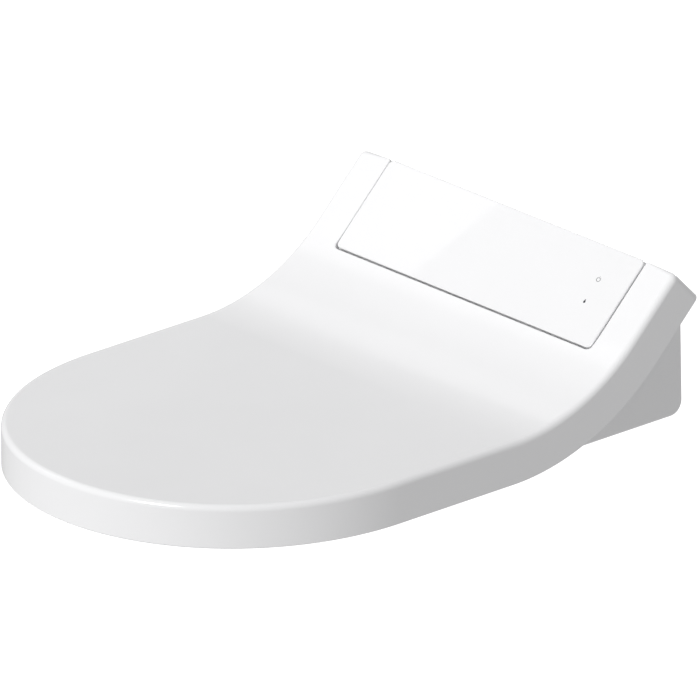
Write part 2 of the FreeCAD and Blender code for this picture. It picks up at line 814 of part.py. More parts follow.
on_slope("touch_board", fused(
    box(from_side(TOUCH_X), TOUCH_Y, (touch_low, touch_top)),
    box(from_side(CHIP_X), CHIP_Y, (touch_low - CHIP_TALL, touch_low + HEAD_JOIN)),
))

# ---------------------------------------------------------------- water path

# The spigot and the gland end inside the rear wall's face; the strainer sits in the spigot.
INLET_SUNK, GLAND_SUNK, STRAINER_START, STRAINER_LONG = 2.5, 2, 1, 4
inlet = (-port_side, port_y, of.port_height)
spigot = rod(*inlet, of.inlet_radius, of.port_length - INLET_SUNK, "Y")
node("water_inlet", cut(
    spigot, rod(inlet[0], port_y - 1, inlet[2], of.inlet_bore, of.port_length + 1, "Y")))
node("inlet_strainer", rod(
    inlet[0], port_y + STRAINER_START, inlet[2], of.inlet_bore, STRAINER_LONG, "Y"))
node("solenoid_valve_body", box(valve_low, valve_depth, (deck, of.valve_top)))
PLUNGER_PLAY, PLUNGER_SHORT = 0.3, 8
coil_at = (-port_side, (valve_depth[0] + valve_depth[1]) / 2)
coil_bore = of.plunger_radius + PLUNGER_PLAY
node("solenoid_coil", cut(
    rod(*coil_at, of.valve_top, of.coil_radius, of.coil_length),
    rod(*coil_at, of.valve_top - 1, coil_bore, of.coil_length - 1),
))
node("valve_plunger", rod(
    *coil_at, of.valve_top + PLUNGER_PLAY, of.plunger_radius, of.coil_length - PLUNGER_SHORT))
HOSE_RUN, SENSOR_HEIGHT = 6, 28
sensor_x = (valve_low[1] + HOSE_RUN, valve_low[1] + HOSE_RUN + of.sensor_size)
sensor_y = (coil_at[1] - of.sensor_size / 2, coil_at[1] + of.sensor_size / 2)
sensor_top = deck + SENSOR_HEIGHT
# The turbine turns in a round chamber with play all round.
BLADES, BLADE_HALF, BLADE_TALL, SPINDLE_RADIUS, SPINDLE_LONG = 6, 0.6, 8, 2, 10
CHAMBER_LONG, CHAMBER_PLAY, CHAMBER_ROOF, SPINDLE_LIFT = 12, 0.8, 3, 1
turbine_at = ((sensor_x[0] + sensor_x[1]) / 2, coil_at[1])
chamber_low = sensor_top - CHAMBER_ROOF - CHAMBER_LONG
turbine_low = chamber_low + SPINDLE_LIFT
chamber = rod(*turbine_at, chamber_low, of.turbine_radius + CHAMBER_PLAY, CHAMBER_LONG)
node("flow_sensor_body", cut(box(sensor_x, sensor_y, (deck, sensor_top)), chamber))
blades = [rod(*turbine_at, turbine_low, SPINDLE_RADIUS, SPINDLE_LONG)]
for turn in range(BLADES // 2):
    blade = box((-of.turbine_radius, of.turbine_radius), (-BLADE_HALF, BLADE_HALF), (0, BLADE_TALL))
    spread = doc.addObject("Part::Compound", "blade")
    spread.Links = [blade]
    spread.Placement = FreeCAD.Placement(
        Vector(), FreeCAD.Rotation(Vector(0, 0, 1), turn * 360 / BLADES))
    blades.append(place(spread, *turbine_at, turbine_low + SPINDLE_LIFT))
node("flow_turbine", fused(*blades))
tank_x = (of.tank_side, of.tank_side + of.tank_width)
tank_y = (0, of.tank_length)
tank_z = (deck, deck + of.tank_height)
tank_room = [(low + of.tank_wall, high - of.tank_wall) for low, high in (tank_x, tank_y, tank_z)]
node("heater_tank", cut(box(tank_x, tank_y, tank_z), box(*tank_room)))
HEATER_OUT, HEATER_RADIUS, CUTOUT_RADIUS, CUTOUT_TALL = 12, 4, 8, 5
heater_mid = of.tank_side + of.tank_width / 2
node("heater_element", group(*[
    rod(heater_mid + side * HEATER_OUT, of.tank_wall, deck + of.tank_height / 2,
        HEATER_RADIUS, of.tank_length - of.tank_wall * 2, "Y")
    for side in (-1, 1)
]))
node("thermal_cutout", rod(heater_mid, of.tank_length / 2, tank_z[1], CUTOUT_RADIUS, CUTOUT_TALL))
hose_line = (coil_at[1], of.port_height)
HOSE_WALL = 1.2


def hose(start, end):
    outer = rod(start, *hose_line, of.hose_radius, end - start, "X")
    bore = rod(start - 1, *hose_line, of.hose_radius - HOSE_WALL, end - start + 2, "X")
    return cut(outer, bore)


node("supply_hoses", group(hose(valve_low[1], sensor_x[0]), hose(sensor_x[1], tank_x[0])))

# ---------------------------------------------------------------- electrics

NUT_LIP, NUT_LONG = 3, 6
outlet = (port_side, port_y, of.port_height)
gland = rod(*outlet, of.gland_radius, of.port_length - GLAND_SUNK, "Y")
nut = rod(*outlet, of.gland_radius + NUT_LIP, NUT_LONG, "Y")
gland_bore = rod(port_side, port_y - 1, of.port_height, of.gland_bore, of.port_length + 1, "Y")
node("cable_gland", cut(fused(gland, nut), gland_bore))


def board(span, depth, low, parts):
    """A circuit board with block components."""
    plate = box(span, depth, (low, low + of.board_thick))
    top = low + of.board_thick
    blocks = [
        box((span[0] + x, span[0] + x + wide), (y, y + long), (top - HEAD_JOIN, top + tall))
        for x, y, wide, long, tall in parts
    ]
    return fused(plate, *blocks)


# Components: across from the board's left edge, along y, then width, length and height.
MAIN_PARTS = {
    "controller": (8, -30, 16, 16, 2), "connectors": (32, -34, 10, 24, 8),
    "driver": (50, -20, 12, 12, 3), "capacitor": (14, -4, 9, 9, 10), "relay": (34, 0, 22, 8, 6),
}
POWER_PARTS = {
    "transformer": (5, -24, 20, 24, 18), "choke": (5, 8, 12, 12, 14), "capacitor": (20, 10, 9, 9, 16),
}
node("main_board", board(MAIN_SPAN, MAIN_DEPTH, main_low, MAIN_PARTS.values()))
node("power_supply_board", board(power_span, POWER_DEPTH, power_low, POWER_PARTS.values()))
SCREW_HEAD, SCREW_TALL = 2.5, 1.8
node("board_screws", group(*[
    rod(x, y, low + of.board_thick, SCREW_HEAD, SCREW_TALL)
    for span, depth, low in ((MAIN_SPAN, MAIN_DEPTH, main_low), (power_span, POWER_DEPTH, power_low))
    for x, y in board_corners(span, depth)
]))
light_rear = -of.unit_front + of.unit_wall
node("night_light_lens", box(light_x, (-of.unit_front, light_rear), (of.light_low, light_high)))
LIGHT_EDGE, LIGHT_RIM = 3, 2
node("night_light_board", box(
    (light_x[0] - LIGHT_EDGE, light_x[1] + LIGHT_EDGE), (light_rear, light_rear + of.board_thick),
    (of.light_low - LIGHT_RIM, light_high + LIGHT_RIM),
))

# ---------------------------------------------------------------- release button

button_y = (of.button_y - of.button_length / 2, button_rear)
button_z = (of.button_z - of.button_height / 2, button_high)
BUTTON_PROUD, BUTTON_FLANGE, STEM_LONG, STEM_HALF = 1.5, 2, 12, 3
button_back = -inner_half + of.button_play
node("release_button", fused(
    box((-unit_half - BUTTON_PROUD, button_back), button_y, button_z),
    box((button_back, button_back + BUTTON_FLANGE),
        (button_y[0] - BUTTON_FLANGE, button_y[1] + BUTTON_FLANGE),
        (button_z[0] - BUTTON_FLANGE, button_z[1] + BUTTON_FLANGE)),
    box((-inner_half, -inner_half + STEM_LONG), (of.button_y - STEM_HALF, of.button_y + STEM_HALF),
        (of.button_z - STEM_HALF, of.button_z + STEM_HALF)),
))

# ---------------------------------------------------------------- wand and its drive

tube_start = 6
on_wand("wand_tube", cut(
    rod(0, tube_start, 0, of.wand_radius, of.wand_length - tube_start, "Y"),
    rod(0, tube_start - 1, 0, of.wand_bore, of.wand_length, "Y"),
))
NOZZLE_RADIUS = 0.8
nozzles = [rod(0, y, 2, NOZZLE_RADIUS, of.wand_radius) for y in (2, 4.2)]
on_wand("wand_tip", cut(
    fused(rod(0, -1, 0, of.wand_radius, tube_start + 1, "Y"),
          rod(0, -3, 0, of.wand_radius - 1.5, 3, "Y"),
          rod(0, 2, 0, of.wand_bore - 0.1, 12, "Y")),
    *nozzles,
))
on_wand("wand_end_cap", fused(
    rod(0, of.wand_length, 0, of.wand_radius, 3, "Y"),
    rod(0, of.wand_length - 6, 0, of.wand_bore, 8, "Y"),
    rod(0, of.wand_length + 2, 0, 2.5, 8, "Y"),
))

pitch = of.rack_module * math.pi
pinion_radius = of.rack_module * PINION_TEETH / 2
rack_root = of.wand_radius + 1.6
rack_line = rack_root + of.rack_module * 1.2
pinion_x = rack_line + pinion_radius
RACK_HALF = 3
TOOTH_ROOT, TOOTH_TIP = 0.95, 0.4


def tooth(foot, tip, module):
    """A tooth's outline towards -X, about y = 0, from its foot to its tip."""
    return [
        (foot, -TOOTH_ROOT * module), (foot, TOOTH_ROOT * module),
        (tip, TOOTH_TIP * module), (tip, -TOOTH_TIP * module),
    ]


def rack():
    """Teeth on a bar along the tube, with a gap in line with the pinion at rest."""
    start = of.pinion_along - of.rack_module * math.pi * 3
    back = prism("XY_Plane", [
        (of.wand_radius - 0.8, start - 2), (rack_root, start - 2),
        (rack_root, of.wand_length - 6), (of.wand_radius - 0.8, of.wand_length - 6),
    ], -RACK_HALF, RACK_HALF)
    teeth = []
    count = int((of.wand_length.value - 8 - start.value) / pitch.value)
    for step in range(count):
        shape = prism("XY_Plane", tooth(rack_root - 0.2, rack_line + of.rack_module * 0.9,
                                        of.rack_module), -RACK_HALF, RACK_HALF)
        teeth.append(place(shape, 0, start + pitch * (step + 0.5), 0))
    return fused(back, *teeth)


on_wand("wand_rack", cut(rack(), rod(0, -10, 0, of.wand_radius, of.wand_length * 2, "Y")))


def pinion():
    """A spur wheel with a tooth on +X, and so one gap facing each rack tooth."""
    reach = pinion_radius + of.rack_module * 0.9
    foot = pinion_radius - of.rack_module * 1.25
    wheel = [rod(0, 0, -RACK_HALF, foot + 0.1, RACK_HALF * 2)]
    for step in range(PINION_TEETH):
        shape = prism("XY_Plane", tooth(foot, reach, of.rack_module * 0.85),
                      -RACK_HALF, RACK_HALF)
        shape.Placement = FreeCAD.Placement(
            Vector(), FreeCAD.Rotation(Vector(0, 0, 1), step * 360 / PINION_TEETH))
        wheel.append(shape)
    return place(group(fused(*wheel)), pinion_x, of.pinion_along, 0)


PIN_RADIUS = 1.5
on_wand("drive_pinion", cut(
    pinion(), rod(pinion_x, of.pinion_along, -10, PIN_RADIUS, 20)))
on_wand("drive_shaft", rod(pinion_x, of.pinion_along, -RACK_HALF - 9, PIN_RADIUS, RACK_HALF * 2 + 9))
motor_top = -RACK_HALF - 1.5
on_wand("wand_motor", cut(
    rod(pinion_x, of.pinion_along, motor_top - of.motor_length, of.motor_radius, of.motor_length),
    rod(pinion_x, of.pinion_along, motor_top - 9, PIN_RADIUS + of.run_play, 12),
))
# The cradle's guide rings and foot: where each starts and ends along the tube.
GUIDE_SPANS = ((8, 16), (42, 51))
FOOT_SPAN = (33, 38)
GUIDE_WALL, BEAM_WALL, FOOT_DEEP, RACK_PLAY = 2, 1, 18, 0.6


def cradle():
    """Two guide rings on a beam under the tube, open on the rack's side."""
    side = of.wand_radius + GUIDE_WALL
    rings = [box((-side, side), span, (-side, side)) for span in GUIDE_SPANS]
    beam = box((-side, GUIDE_WALL), (GUIDE_SPANS[0][0], of.wand_length - 10),
               (-side - BEAM_WALL, -of.wand_radius - BEAM_WALL))
    foot = box((-side, GUIDE_WALL), FOOT_SPAN, (-side - FOOT_DEEP, -side))
    clear = of.wand_radius + of.wand_play
    return cut(
        fused(*rings, beam, foot), rod(0, 0, 0, clear, of.wand_length, "Y"),
        box((0, side + 1), (0, of.wand_length), (-RACK_HALF - RACK_PLAY, RACK_HALF + RACK_PLAY)),
    )


cradle_blank = place(group(cradle()), 0, -of.wand_tip_y, of.wand_tip_z, of.wand_tilt)
node("wand_cradle", common(
    common(cradle_blank, box((-60, 60), (-100, 80), (base_high, 120))),
    side_prism(casing_side(of.unit_wall + BASE_FIT, base_high - 1), 60),
))

# ---------------------------------------------------------------- check and write

doc.recompute()
for item in doc.Objects:
    if {"Invalid", "Error"} & set(item.State):
        raise RuntimeError(f"{item.Name} ({item.Label}) failed: {item.State}")
os.makedirs("parts", exist_ok=True)
for name, item in nodes.items():
    shape = item.Shape
    if shape.isNull() or not shape.isValid() or not shape.Solids:
        raise RuntimeError(f"{name} has no valid solid")
    shape.exportStep(f"parts/{name}.step")
    bounds = shape.BoundBox
    print(f"{name:22s} {len(shape.Solids):3d} solids {shape.Volume / 1000:9.2f} cm3 "
          f"x {bounds.XMin:7.1f} {bounds.XMax:7.1f} y {bounds.YMin:7.1f} {bounds.YMax:7.1f} "
          f"z {bounds.ZMin:7.1f} {bounds.ZMax:7.1f}")
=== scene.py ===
"""Looks of an electric bidet seat: one-piece swept lid, contoured seat, slide-on unit and panel."""

import json
import math
import bmesh
import bpy
from mathutils import Matrix, Vector

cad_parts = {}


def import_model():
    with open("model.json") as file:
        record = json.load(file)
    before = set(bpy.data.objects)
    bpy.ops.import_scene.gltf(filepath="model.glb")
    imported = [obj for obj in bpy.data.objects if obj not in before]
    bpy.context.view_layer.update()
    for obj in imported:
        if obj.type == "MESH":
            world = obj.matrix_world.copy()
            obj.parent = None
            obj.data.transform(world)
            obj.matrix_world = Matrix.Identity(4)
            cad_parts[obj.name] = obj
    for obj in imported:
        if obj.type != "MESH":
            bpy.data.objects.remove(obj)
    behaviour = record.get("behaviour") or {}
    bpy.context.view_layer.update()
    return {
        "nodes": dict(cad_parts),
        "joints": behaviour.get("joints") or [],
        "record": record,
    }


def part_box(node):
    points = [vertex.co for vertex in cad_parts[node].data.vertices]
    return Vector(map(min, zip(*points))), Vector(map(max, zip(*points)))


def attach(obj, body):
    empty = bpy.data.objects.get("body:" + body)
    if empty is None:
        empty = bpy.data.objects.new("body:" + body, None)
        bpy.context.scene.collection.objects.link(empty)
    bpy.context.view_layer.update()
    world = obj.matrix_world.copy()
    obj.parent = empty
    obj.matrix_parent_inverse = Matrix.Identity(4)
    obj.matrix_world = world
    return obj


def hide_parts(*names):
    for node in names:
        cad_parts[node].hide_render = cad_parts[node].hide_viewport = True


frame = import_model()
MM = 0.001


def corners_of(name):
    """The lowest and the highest corner of a CAD node."""
    low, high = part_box(name)
    return Vector(low), Vector(high)


# ---------------------------------------------------------------- mesh tools

def new_piece(name, bm, material):
    """An object at the origin that holds a finished bmesh."""
    mesh = bpy.data.meshes.new(name)
    bm.to_mesh(mesh)
    bm.free()
    piece = bpy.data.objects.new(name, mesh)
    bpy.context.scene.collection.objects.link(piece)
    mesh.materials.append(material)
    return piece


def apply_modifiers(piece):
    """Turn the piece, with its modifiers, into a plain mesh."""
    evaluated = piece.evaluated_get(bpy.context.evaluated_depsgraph_get())
    mesh = bpy.data.meshes.new_from_object(evaluated)
    piece.modifiers.clear()
    piece.data = mesh
    return piece


def smooth(piece, angle=38):
    """Shade smooth between edges sharper than an angle, with flat faces kept flat."""
    mesh = piece.data
    bm = bmesh.new()
    bm.from_mesh(mesh)
    for face in bm.faces:
        face.smooth = True
    for edge in bm.edges:
        edge.smooth = len(edge.link_faces) != 2 or edge.calc_face_angle(0) < math.radians(angle)
    bm.to_mesh(mesh)
    bm.free()
    weighted = piece.modifiers.new("weighted", "WEIGHTED_NORMAL")
    weighted.keep_sharp = True
    return apply_modifiers(piece)


def arc(centre, radius, start, end, steps):
    """Points on an arc, with angles in degrees."""
    turns = [math.radians(start + (end - start) * step / steps) for step in range(steps + 1)]
    return [Vector((centre[0] + radius * math.cos(t), centre[1] + radius * math.sin(t)))
            for t in turns]


def rounded(corners, steps=8):
    """A closed outline of corners (x, y, radius), each turned into an arc."""
    points = []
    for number, (x, y, radius) in enumerate(corners):
        here = Vector((x, y))
        before = Vector(corners[number - 1][:2])
        after = Vector(corners[(number + 1) % len(corners)][:2])
        back, on = (before - here).normalized(), (after - here).normalized()
        half = math.acos(max(-1, min(1, back.dot(on)))) / 2
        if radius <= 0 or half > math.radians(89.5):
            points.append(here)
            continue
        middle = (back + on).normalized()
        centre = here + middle * (radius / math.sin(half))
        first = here + back * (radius / math.tan(half)) - centre
        last = here + on * (radius / math.tan(half)) - centre
        sweep = first.angle_signed(last)
        for step in range(steps + 1):
            points.append(centre + Matrix.Rotation(-sweep * step / steps, 2) @ first)
    return points


def inward(points):
    """The unit normal to the left of each point of a closed outline."""
    normals = []
    for number, point in enumerate(points):
        before, after = points[number - 1], points[(number + 1) % len(points)]
        along = (point - before).normalized() + (after - point).normalized()
        normals.append(Vector((-along.y, along.x)).normalized())
    return normals


def turned_edge(radius, steps=6):
    """The (inset, depth) of a round edge, from the wall up to the flat."""
    turns = [math.radians(90 * step / steps) for step in range(steps + 1)]
    return [(radius * (1 - math.cos(t)), radius * (1 - math.sin(t))) for t in turns]


def loops(bm, outline, normals, section):
    """Closed rows of vertices: section(i) gives the (inset, depth) rows at outline point i."""
    rows = []
    for number, (point, normal) in enumerate(zip(outline, normals)):
        for row, (inset, depth) in enumerate(section(number)):
            if row == len(rows):
                rows.append([])
            at = point + normal * inset
            rows[row].append(bm.verts.new((at.x, at.y, -depth)))
    for low, high in zip(rows, rows[1:]):
        for number in range(len(outline)):
            after = (number + 1) % len(outline)
            bm.faces.new((low[number], low[after], high[after], high[number]))
    return rows


def cut_rows(bm, stations):
    """Cut the whole mesh across y at each station, so that it can be bent there."""
    for station in stations:
        bmesh.ops.bisect_plane(
            bm, geom=bm.verts[:] + bm.edges[:] + bm.faces[:], dist=1e-8,
            plane_co=(0, station, 0), plane_no=(0, 1, 0))


def move(bm, where):
    """Take every vertex to where a function puts it."""
    for vert in bm.verts:
        vert.co = where(vert.co)


def close(bm, gap=2e-6):
    """Weld a shell's seams and turn its faces outwards."""
    bmesh.ops.remove_doubles(bm, verts=bm.verts[:], dist=gap)
    bmesh.ops.recalc_face_normals(bm, faces=bm.faces[:])


def solid_plate(outline, section, where=None, stations=()):
    """A closed plate: section's rows round the outline, with both ends filled."""
    bm = bmesh.new()
    rows = loops(bm, outline, inward(outline), section)
    bm.faces.new(rows[-1])
    bm.faces.new(rows[0][::-1])
    cut_rows(bm, stations)
    if where:
        move(bm, where)
    close(bm)
    return bm


def tube(bm, start, along, radii, lengths, sides=48):
    """A closed body of revolution: radii at lengths along a direction from a start."""
    along = Vector(along).normalized()
    side = along.orthogonal().normalized()
    rings = []
    for radius, length in zip(radii, lengths):
        middle = Vector(start) + along * length
        rings.append([
            bm.verts.new(middle + Matrix.Rotation(math.tau * k / sides, 3, along) @ side * radius)
            for k in range(sides)])
    for low, high in zip(rings, rings[1:]):
        for k in range(sides):
            bm.faces.new((low[k], low[(k + 1) % sides], high[(k + 1) % sides], high[k]))
    bm.faces.new(rings[0][::-1])
    bm.faces.new(rings[-1])


def block(bm, low, high):
    """A plain block between two corners, for a cutter or a small inner part."""
    made = bmesh.ops.create_cube(bm, size=1)["verts"]
    low, high = Vector(low), Vector(high)
    for vert in made:
        vert.co = (low + high) / 2 + Vector(vert.co[k] * (high - low)[k] for k in range(3))


def carve(piece, cutter, operation="DIFFERENCE"):
    """Take the cutter's bodies out of the piece, or weld them on with UNION."""
    mesh = bpy.data.meshes.new("cutter")
    bmesh.ops.triangulate(cutter, faces=[face for face in cutter.faces if len(face.verts) > 4])
    cutter.to_mesh(mesh)
    cutter.free()
    tool = bpy.data.objects.new("cutter", mesh)
    bpy.context.scene.collection.objects.link(tool)
    boolean = piece.modifiers.new("carve", "BOOLEAN")
    boolean.operation = operation
    boolean.solver = "EXACT"
    boolean.use_self = True
    boolean.object = tool
    apply_modifiers(piece)
    bpy.data.objects.remove(tool)
    return piece


# ---------------------------------------------------------------- trees for what repeats

def add(tree, kind, settings=None, links=None):
    """Add a node with its settings and the sockets that its inputs come from."""
    new = tree.nodes.new(kind)
    for key, value in (settings or {}).items():
        if isinstance(key, str) and hasattr(new, key):
            setattr(new, key, value)
        else:
            new.inputs[key].default_value = value
    for key, socket in (links or {}).items():
        tree.links.new(socket, new.inputs[key])
    return new


def new_tree(name, sockets):
    """A Geometry Nodes tree with named inputs: (name, socket type) after the points."""
    tree = bpy.data.node_groups.new(name, "GeometryNodeTree")
    tree.interface.new_socket("Points", in_out="INPUT", socket_type="NodeSocketGeometry")
    for socket, kind in sockets:
        tree.interface.new_socket(socket, in_out="INPUT", socket_type="NodeSocket" + kind)
    tree.interface.new_socket("Result", in_out="OUTPUT", socket_type="NodeSocketGeometry")
    return tree, add(tree, "NodeGroupInput").outputs


def end_tree(tree, given, shape):
    """Put the shape on every point, turned as given, as one plain mesh with its material."""
    placed = add(tree, "GeometryNodeInstanceOnPoints", {}, {
        "Points": given["Points"], "Instance": shape, "Rotation": given["Turn"]})
    real = add(tree, "GeometryNodeRealizeInstances", {}, {"Geometry": placed.outputs[0]})
    dressed = add(tree, "GeometryNodeSetMaterial", {}, {
        "Geometry": real.outputs[0], "Material": given["Material"]})
    add(tree, "NodeGroupOutput", {}, {"Result": dressed.outputs[0]})
    return tree


def stud_tree():
    """A round stud on each point: a straight barrel with its far edge drawn in twice."""
    tree, given = new_tree("studs", [
        ("Radius", "Float"), ("Height", "Float"), ("Edge", "Float"), ("Sides", "Int"),
        ("Turn", "Vector"), ("Material", "Material")])
    drawn = add(tree, "ShaderNodeMath", {"operation": "MULTIPLY_ADD", 1: -1.5},
                {0: given["Edge"], 2: given["Height"]})
    barrel = add(tree, "GeometryNodeMeshCylinder", {}, {
        "Vertices": given["Sides"], "Radius": given["Radius"], "Depth": drawn.outputs[0]})
    shape, top = barrel.outputs["Mesh"], barrel.outputs["Top"]
    for rise, shrink in ((1.0, 0.42), (0.5, 1.0)):
        lift = add(tree, "ShaderNodeMath", {"operation": "MULTIPLY", 1: rise}, {0: given["Edge"]})
        pulled = add(tree, "GeometryNodeExtrudeMesh", {}, {
            "Mesh": shape, "Selection": top, "Offset Scale": lift.outputs[0]})
        share = add(tree, "ShaderNodeMath", {"operation": "DIVIDE"},
                    {0: given["Edge"], 1: given["Radius"]})
        scale = add(tree, "ShaderNodeMath", {"operation": "MULTIPLY_ADD", 1: -shrink, 2: 1.0},
                    {0: share.outputs[0]})
        scaled = add(tree, "GeometryNodeScaleElements", {}, {
            "Geometry": pulled.outputs["Mesh"], "Selection": pulled.outputs["Top"],
            "Scale": scale.outputs[0]})
        shape, top = scaled.outputs[0], pulled.outputs["Top"]
    half = add(tree, "ShaderNodeMath", {"operation": "MULTIPLY", 1: 0.5}, {0: drawn.outputs[0]})
    raised = add(tree, "ShaderNodeCombineXYZ", {}, {"Z": half.outputs[0]})
    stood = add(tree, "GeometryNodeTransform", {}, {
        "Geometry": shape, "Translation": raised.outputs[0]})
    return end_tree(tree, given, stood.outputs[0])


def bar_tree():
    """A half-sunk round bar on each point, with its length along the turned X axis."""
    tree, given = new_tree("bars", [
        ("Radius", "Float"), ("Length", "Float"), ("Turn", "Vector"), ("Material", "Material")])
    bar = add(tree, "GeometryNodeMeshCylinder", {"Vertices": 16}, {
        "Radius": given["Radius"], "Depth": given["Length"]})
    laid = add(tree, "GeometryNodeTransform", {"Rotation": (0, math.pi / 2, 0)},
               {"Geometry": bar.outputs["Mesh"]})
    return end_tree(tree, given, laid.outputs[0])


def grow(name, points, tree, values):
    """Run a tree on points and keep the result as a plain mesh."""
    mesh = bpy.data.meshes.new(name)
    mesh.from_pydata([tuple(point) for point in points], [], [])
    piece = bpy.data.objects.new(name, mesh)
    bpy.context.scene.collection.objects.link(piece)
    modifier = piece.modifiers.new("grow", "NODES")
    modifier.node_group = tree
    for socket in tree.interface.items_tree:
        if socket.in_out == "INPUT" and socket.name in values:
            modifier[socket.identifier] = values[socket.name]
    return smooth(apply_modifiers(piece), 50)


def solids_of(name):
    """The (low, high) corners of each separate solid of a CAD node."""
    bm = bmesh.new()
    bm.from_mesh(frame["nodes"][name].data)
    bmesh.ops.remove_doubles(bm, verts=bm.verts[:], dist=1e-6)
    left, boxes = set(bm.verts), []
    while left:
        grown, edge = set(), [left.pop()]
        while edge:
            vert = edge.pop()
            grown.add(vert)
            for link in vert.link_edges:
                other = link.other_vert(vert)
                if other in left:
                    left.discard(other)
                    edge.append(other)
        points = [vert.co for vert in grown]
        boxes.append((Vector(min(point[k] for point in points) for k in range(3)),
                      Vector(max(point[k] for point in points) for k in range(3))))
    bm.free()
    return sorted(boxes, key=lambda pair: tuple(round(v, 5) for v in pair[0]))


# ---------------------------------------------------------------- materials

def colour(code):
    """An sRGB hex colour as the linear RGBA that a shader takes."""
    parts = [int(code[k:k + 2], 16) / 255 for k in (1, 3, 5)]
    return [c / 12.92 if c <= 0.04045 else ((c + 0.055) / 1.055) ** 2.4 for c in parts] + [1]


def shader(name):
    """A new material: its tree, its Principled shader, and Object coordinates."""
    material = bpy.data.materials.new(name)
    material.use_nodes = True
    tree = material.node_tree
    principled = tree.nodes["Principled BSDF"]
    place = add(tree, "ShaderNodeTexCoord").outputs["Object"]
    return material, tree, principled, place


TINT_DRIFT = 70 * MM
POLYMER_IOR = 1.5


def moulded(name, tint, shade, rough, spread, wave, height):
    """Moulded plastic: a faint tint drift, uneven gloss, and a low ripple wave mm long."""
    material, tree, principled, place = shader(name)
    drift = add(tree, "ShaderNodeTexNoise", {"Scale": 1 / TINT_DRIFT, "Detail": 2},
                {"Vector": place})
    mix = add(tree, "ShaderNodeMix", {"data_type": "RGBA", 6: colour(tint), 7: colour(shade)},
              {0: drift.outputs["Fac"]})
    tree.links.new(mix.outputs[2], principled.inputs["Base Color"])
    grain = add(tree, "ShaderNodeTexNoise", {"Scale": 1 / (wave * MM), "Detail": 3},
                {"Vector": place})
    gloss = add(tree, "ShaderNodeMapRange", {
        "From Min": 0.3, "From Max": 0.7, "To Min": rough - spread, "To Max": rough + spread,
    }, {"Value": grain.outputs["Fac"]})
    tree.links.new(gloss.outputs["Result"], principled.inputs["Roughness"])
    bump = add(tree, "ShaderNodeBump", {"Strength": 1, "Distance": height * MM},
               {"Height": grain.outputs["Fac"]})
    tree.links.new(bump.outputs["Normal"], principled.inputs["Normal"])
    principled.inputs["IOR"].default_value = POLYMER_IOR
    return material


LINE_STRETCH = 40
GLOSS_SPREAD = 0.1
LINE_DEPTH = 0.004 * MM


def metal(name, tint, shade, rough, line, along):
    """Worked metal: fine tool lines, line mm apart, that run along one axis."""
    material, tree, principled, place = shader(name)
    stretch = [1 / (line * MM)] * 3
    stretch[along] = 1 / (line * LINE_STRETCH * MM)
    mapped = add(tree, "ShaderNodeMapping", {"Scale": stretch}, {"Vector": place})
    lines = add(tree, "ShaderNodeTexNoise", {"Scale": 1, "Detail": 4},
                {"Vector": mapped.outputs[0]})
    mix = add(tree, "ShaderNodeMix", {"data_type": "RGBA", 6: colour(tint), 7: colour(shade)},
              {0: lines.outputs["Fac"]})
    tree.links.new(mix.outputs[2], principled.inputs["Base Color"])
    gloss = add(tree, "ShaderNodeMapRange", {
        "To Min": rough - GLOSS_SPREAD, "To Max": rough + GLOSS_SPREAD,
    }, {"Value": lines.outputs["Fac"]})
    tree.links.new(gloss.outputs["Result"], principled.inputs["Roughness"])
    bump = add(tree, "ShaderNodeBump", {"Strength": 1, "Distance": LINE_DEPTH},
               {"Height": lines.outputs["Fac"]})
    tree.links.new(bump.outputs["Normal"], principled.inputs["Normal"])
    principled.inputs["Metallic"].default_value = 1
    return material


# Duroplast (urea resin) pressed in a polished steel mould: dense white, soft clear highlights.
duroplast = moulded("duroplast_polished", "#F5F5F6", "#F2F2F3", 0.14, 0.015, 9, 0.0015)
# ABS, injection moulded in a fine spark-eroded mould: the same white with a calmer sheen.
abs_white = moulded("abs_satin_white", "#E8E9EB", "#E4E5E7", 0.3, 0.04, 1.2, 0.008)
# Acrylic-capped ABS, polished on one side: the deepest gloss on the object.
acrylic = moulded("acrylic_capped_panel", "#F3F3F4", "#F1F1F2", 0.014, 0.004, 25, 0.0002)
# Dark ink printed on the back of clear acrylic: even, faintly mottled.
touch_ink = moulded("screen_printed_ink", "#2E3136", "#383C42", 0.3, 0.03, 0.5, 0.002)
# Polypropylene with a fine moulded grain: greyer, and nearly matt.
grey_plastic = moulded("polypropylene_grained", "#9EA1A4", "#94979B", 0.5, 0.06, 0.8, 0.02)
# Glass-filled nylon: black-grey, with the glass showing as a mottled sheen.
nylon = moulded("glass_filled_nylon", "#1E1F21", "#2A2B2E", 0.5, 0.08, 0.6, 0.02)
# Acetal: waxy off-white, slightly translucent in thin walls.
acetal = moulded("acetal_natural", "#E9E6DC", "#E3E0D6", 0.35, 0.04, 1.5, 0.004)
# Silicone rubber, moulded with a fine matt grain: light grey, soft sheen.
silicone = moulded("silicone_moulded", "#C3C6C9", "#BBBEC2", 0.6, 0.05, 0.7, 0.02)
# Solder mask over fibreglass board: green, with the weave just showing.
solder_mask = moulded("solder_mask_board", "#14502F", "#1A5B37", 0.35, 0.05, 0.9, 0.01)
# Potting varnish over a winding: dark blue with a wet gloss.
varnish = moulded("varnished_coil", "#1B2440", "#242F52", 0.25, 0.05, 1.0, 0.03)
# Polycarbonate diffuser, frosted on the inside: cool white.
diffuser = moulded("polycarbonate_frosted", "#E7EEF6", "#DFE7F0", 0.4, 0.03, 0.6, 0.01)
# Stainless steel sheet with a cold-rolled, brushed face: fine lines along X.
steel = metal("stainless_brushed", "#B9BBBE", "#A6A8AC", 0.35, 0.3, 0)
# Brass bar turned on a lathe: fine rings across its axis.
brass = metal("brass_turned", "#C9A55B", "#B8934B", 0.3, 0.3, 0)
# Aluminium foil: bright, softly creased by rolling.
foil = metal("aluminium_foil", "#CACBCD", "#B8B9BC", 0.3, 0.6, 1)

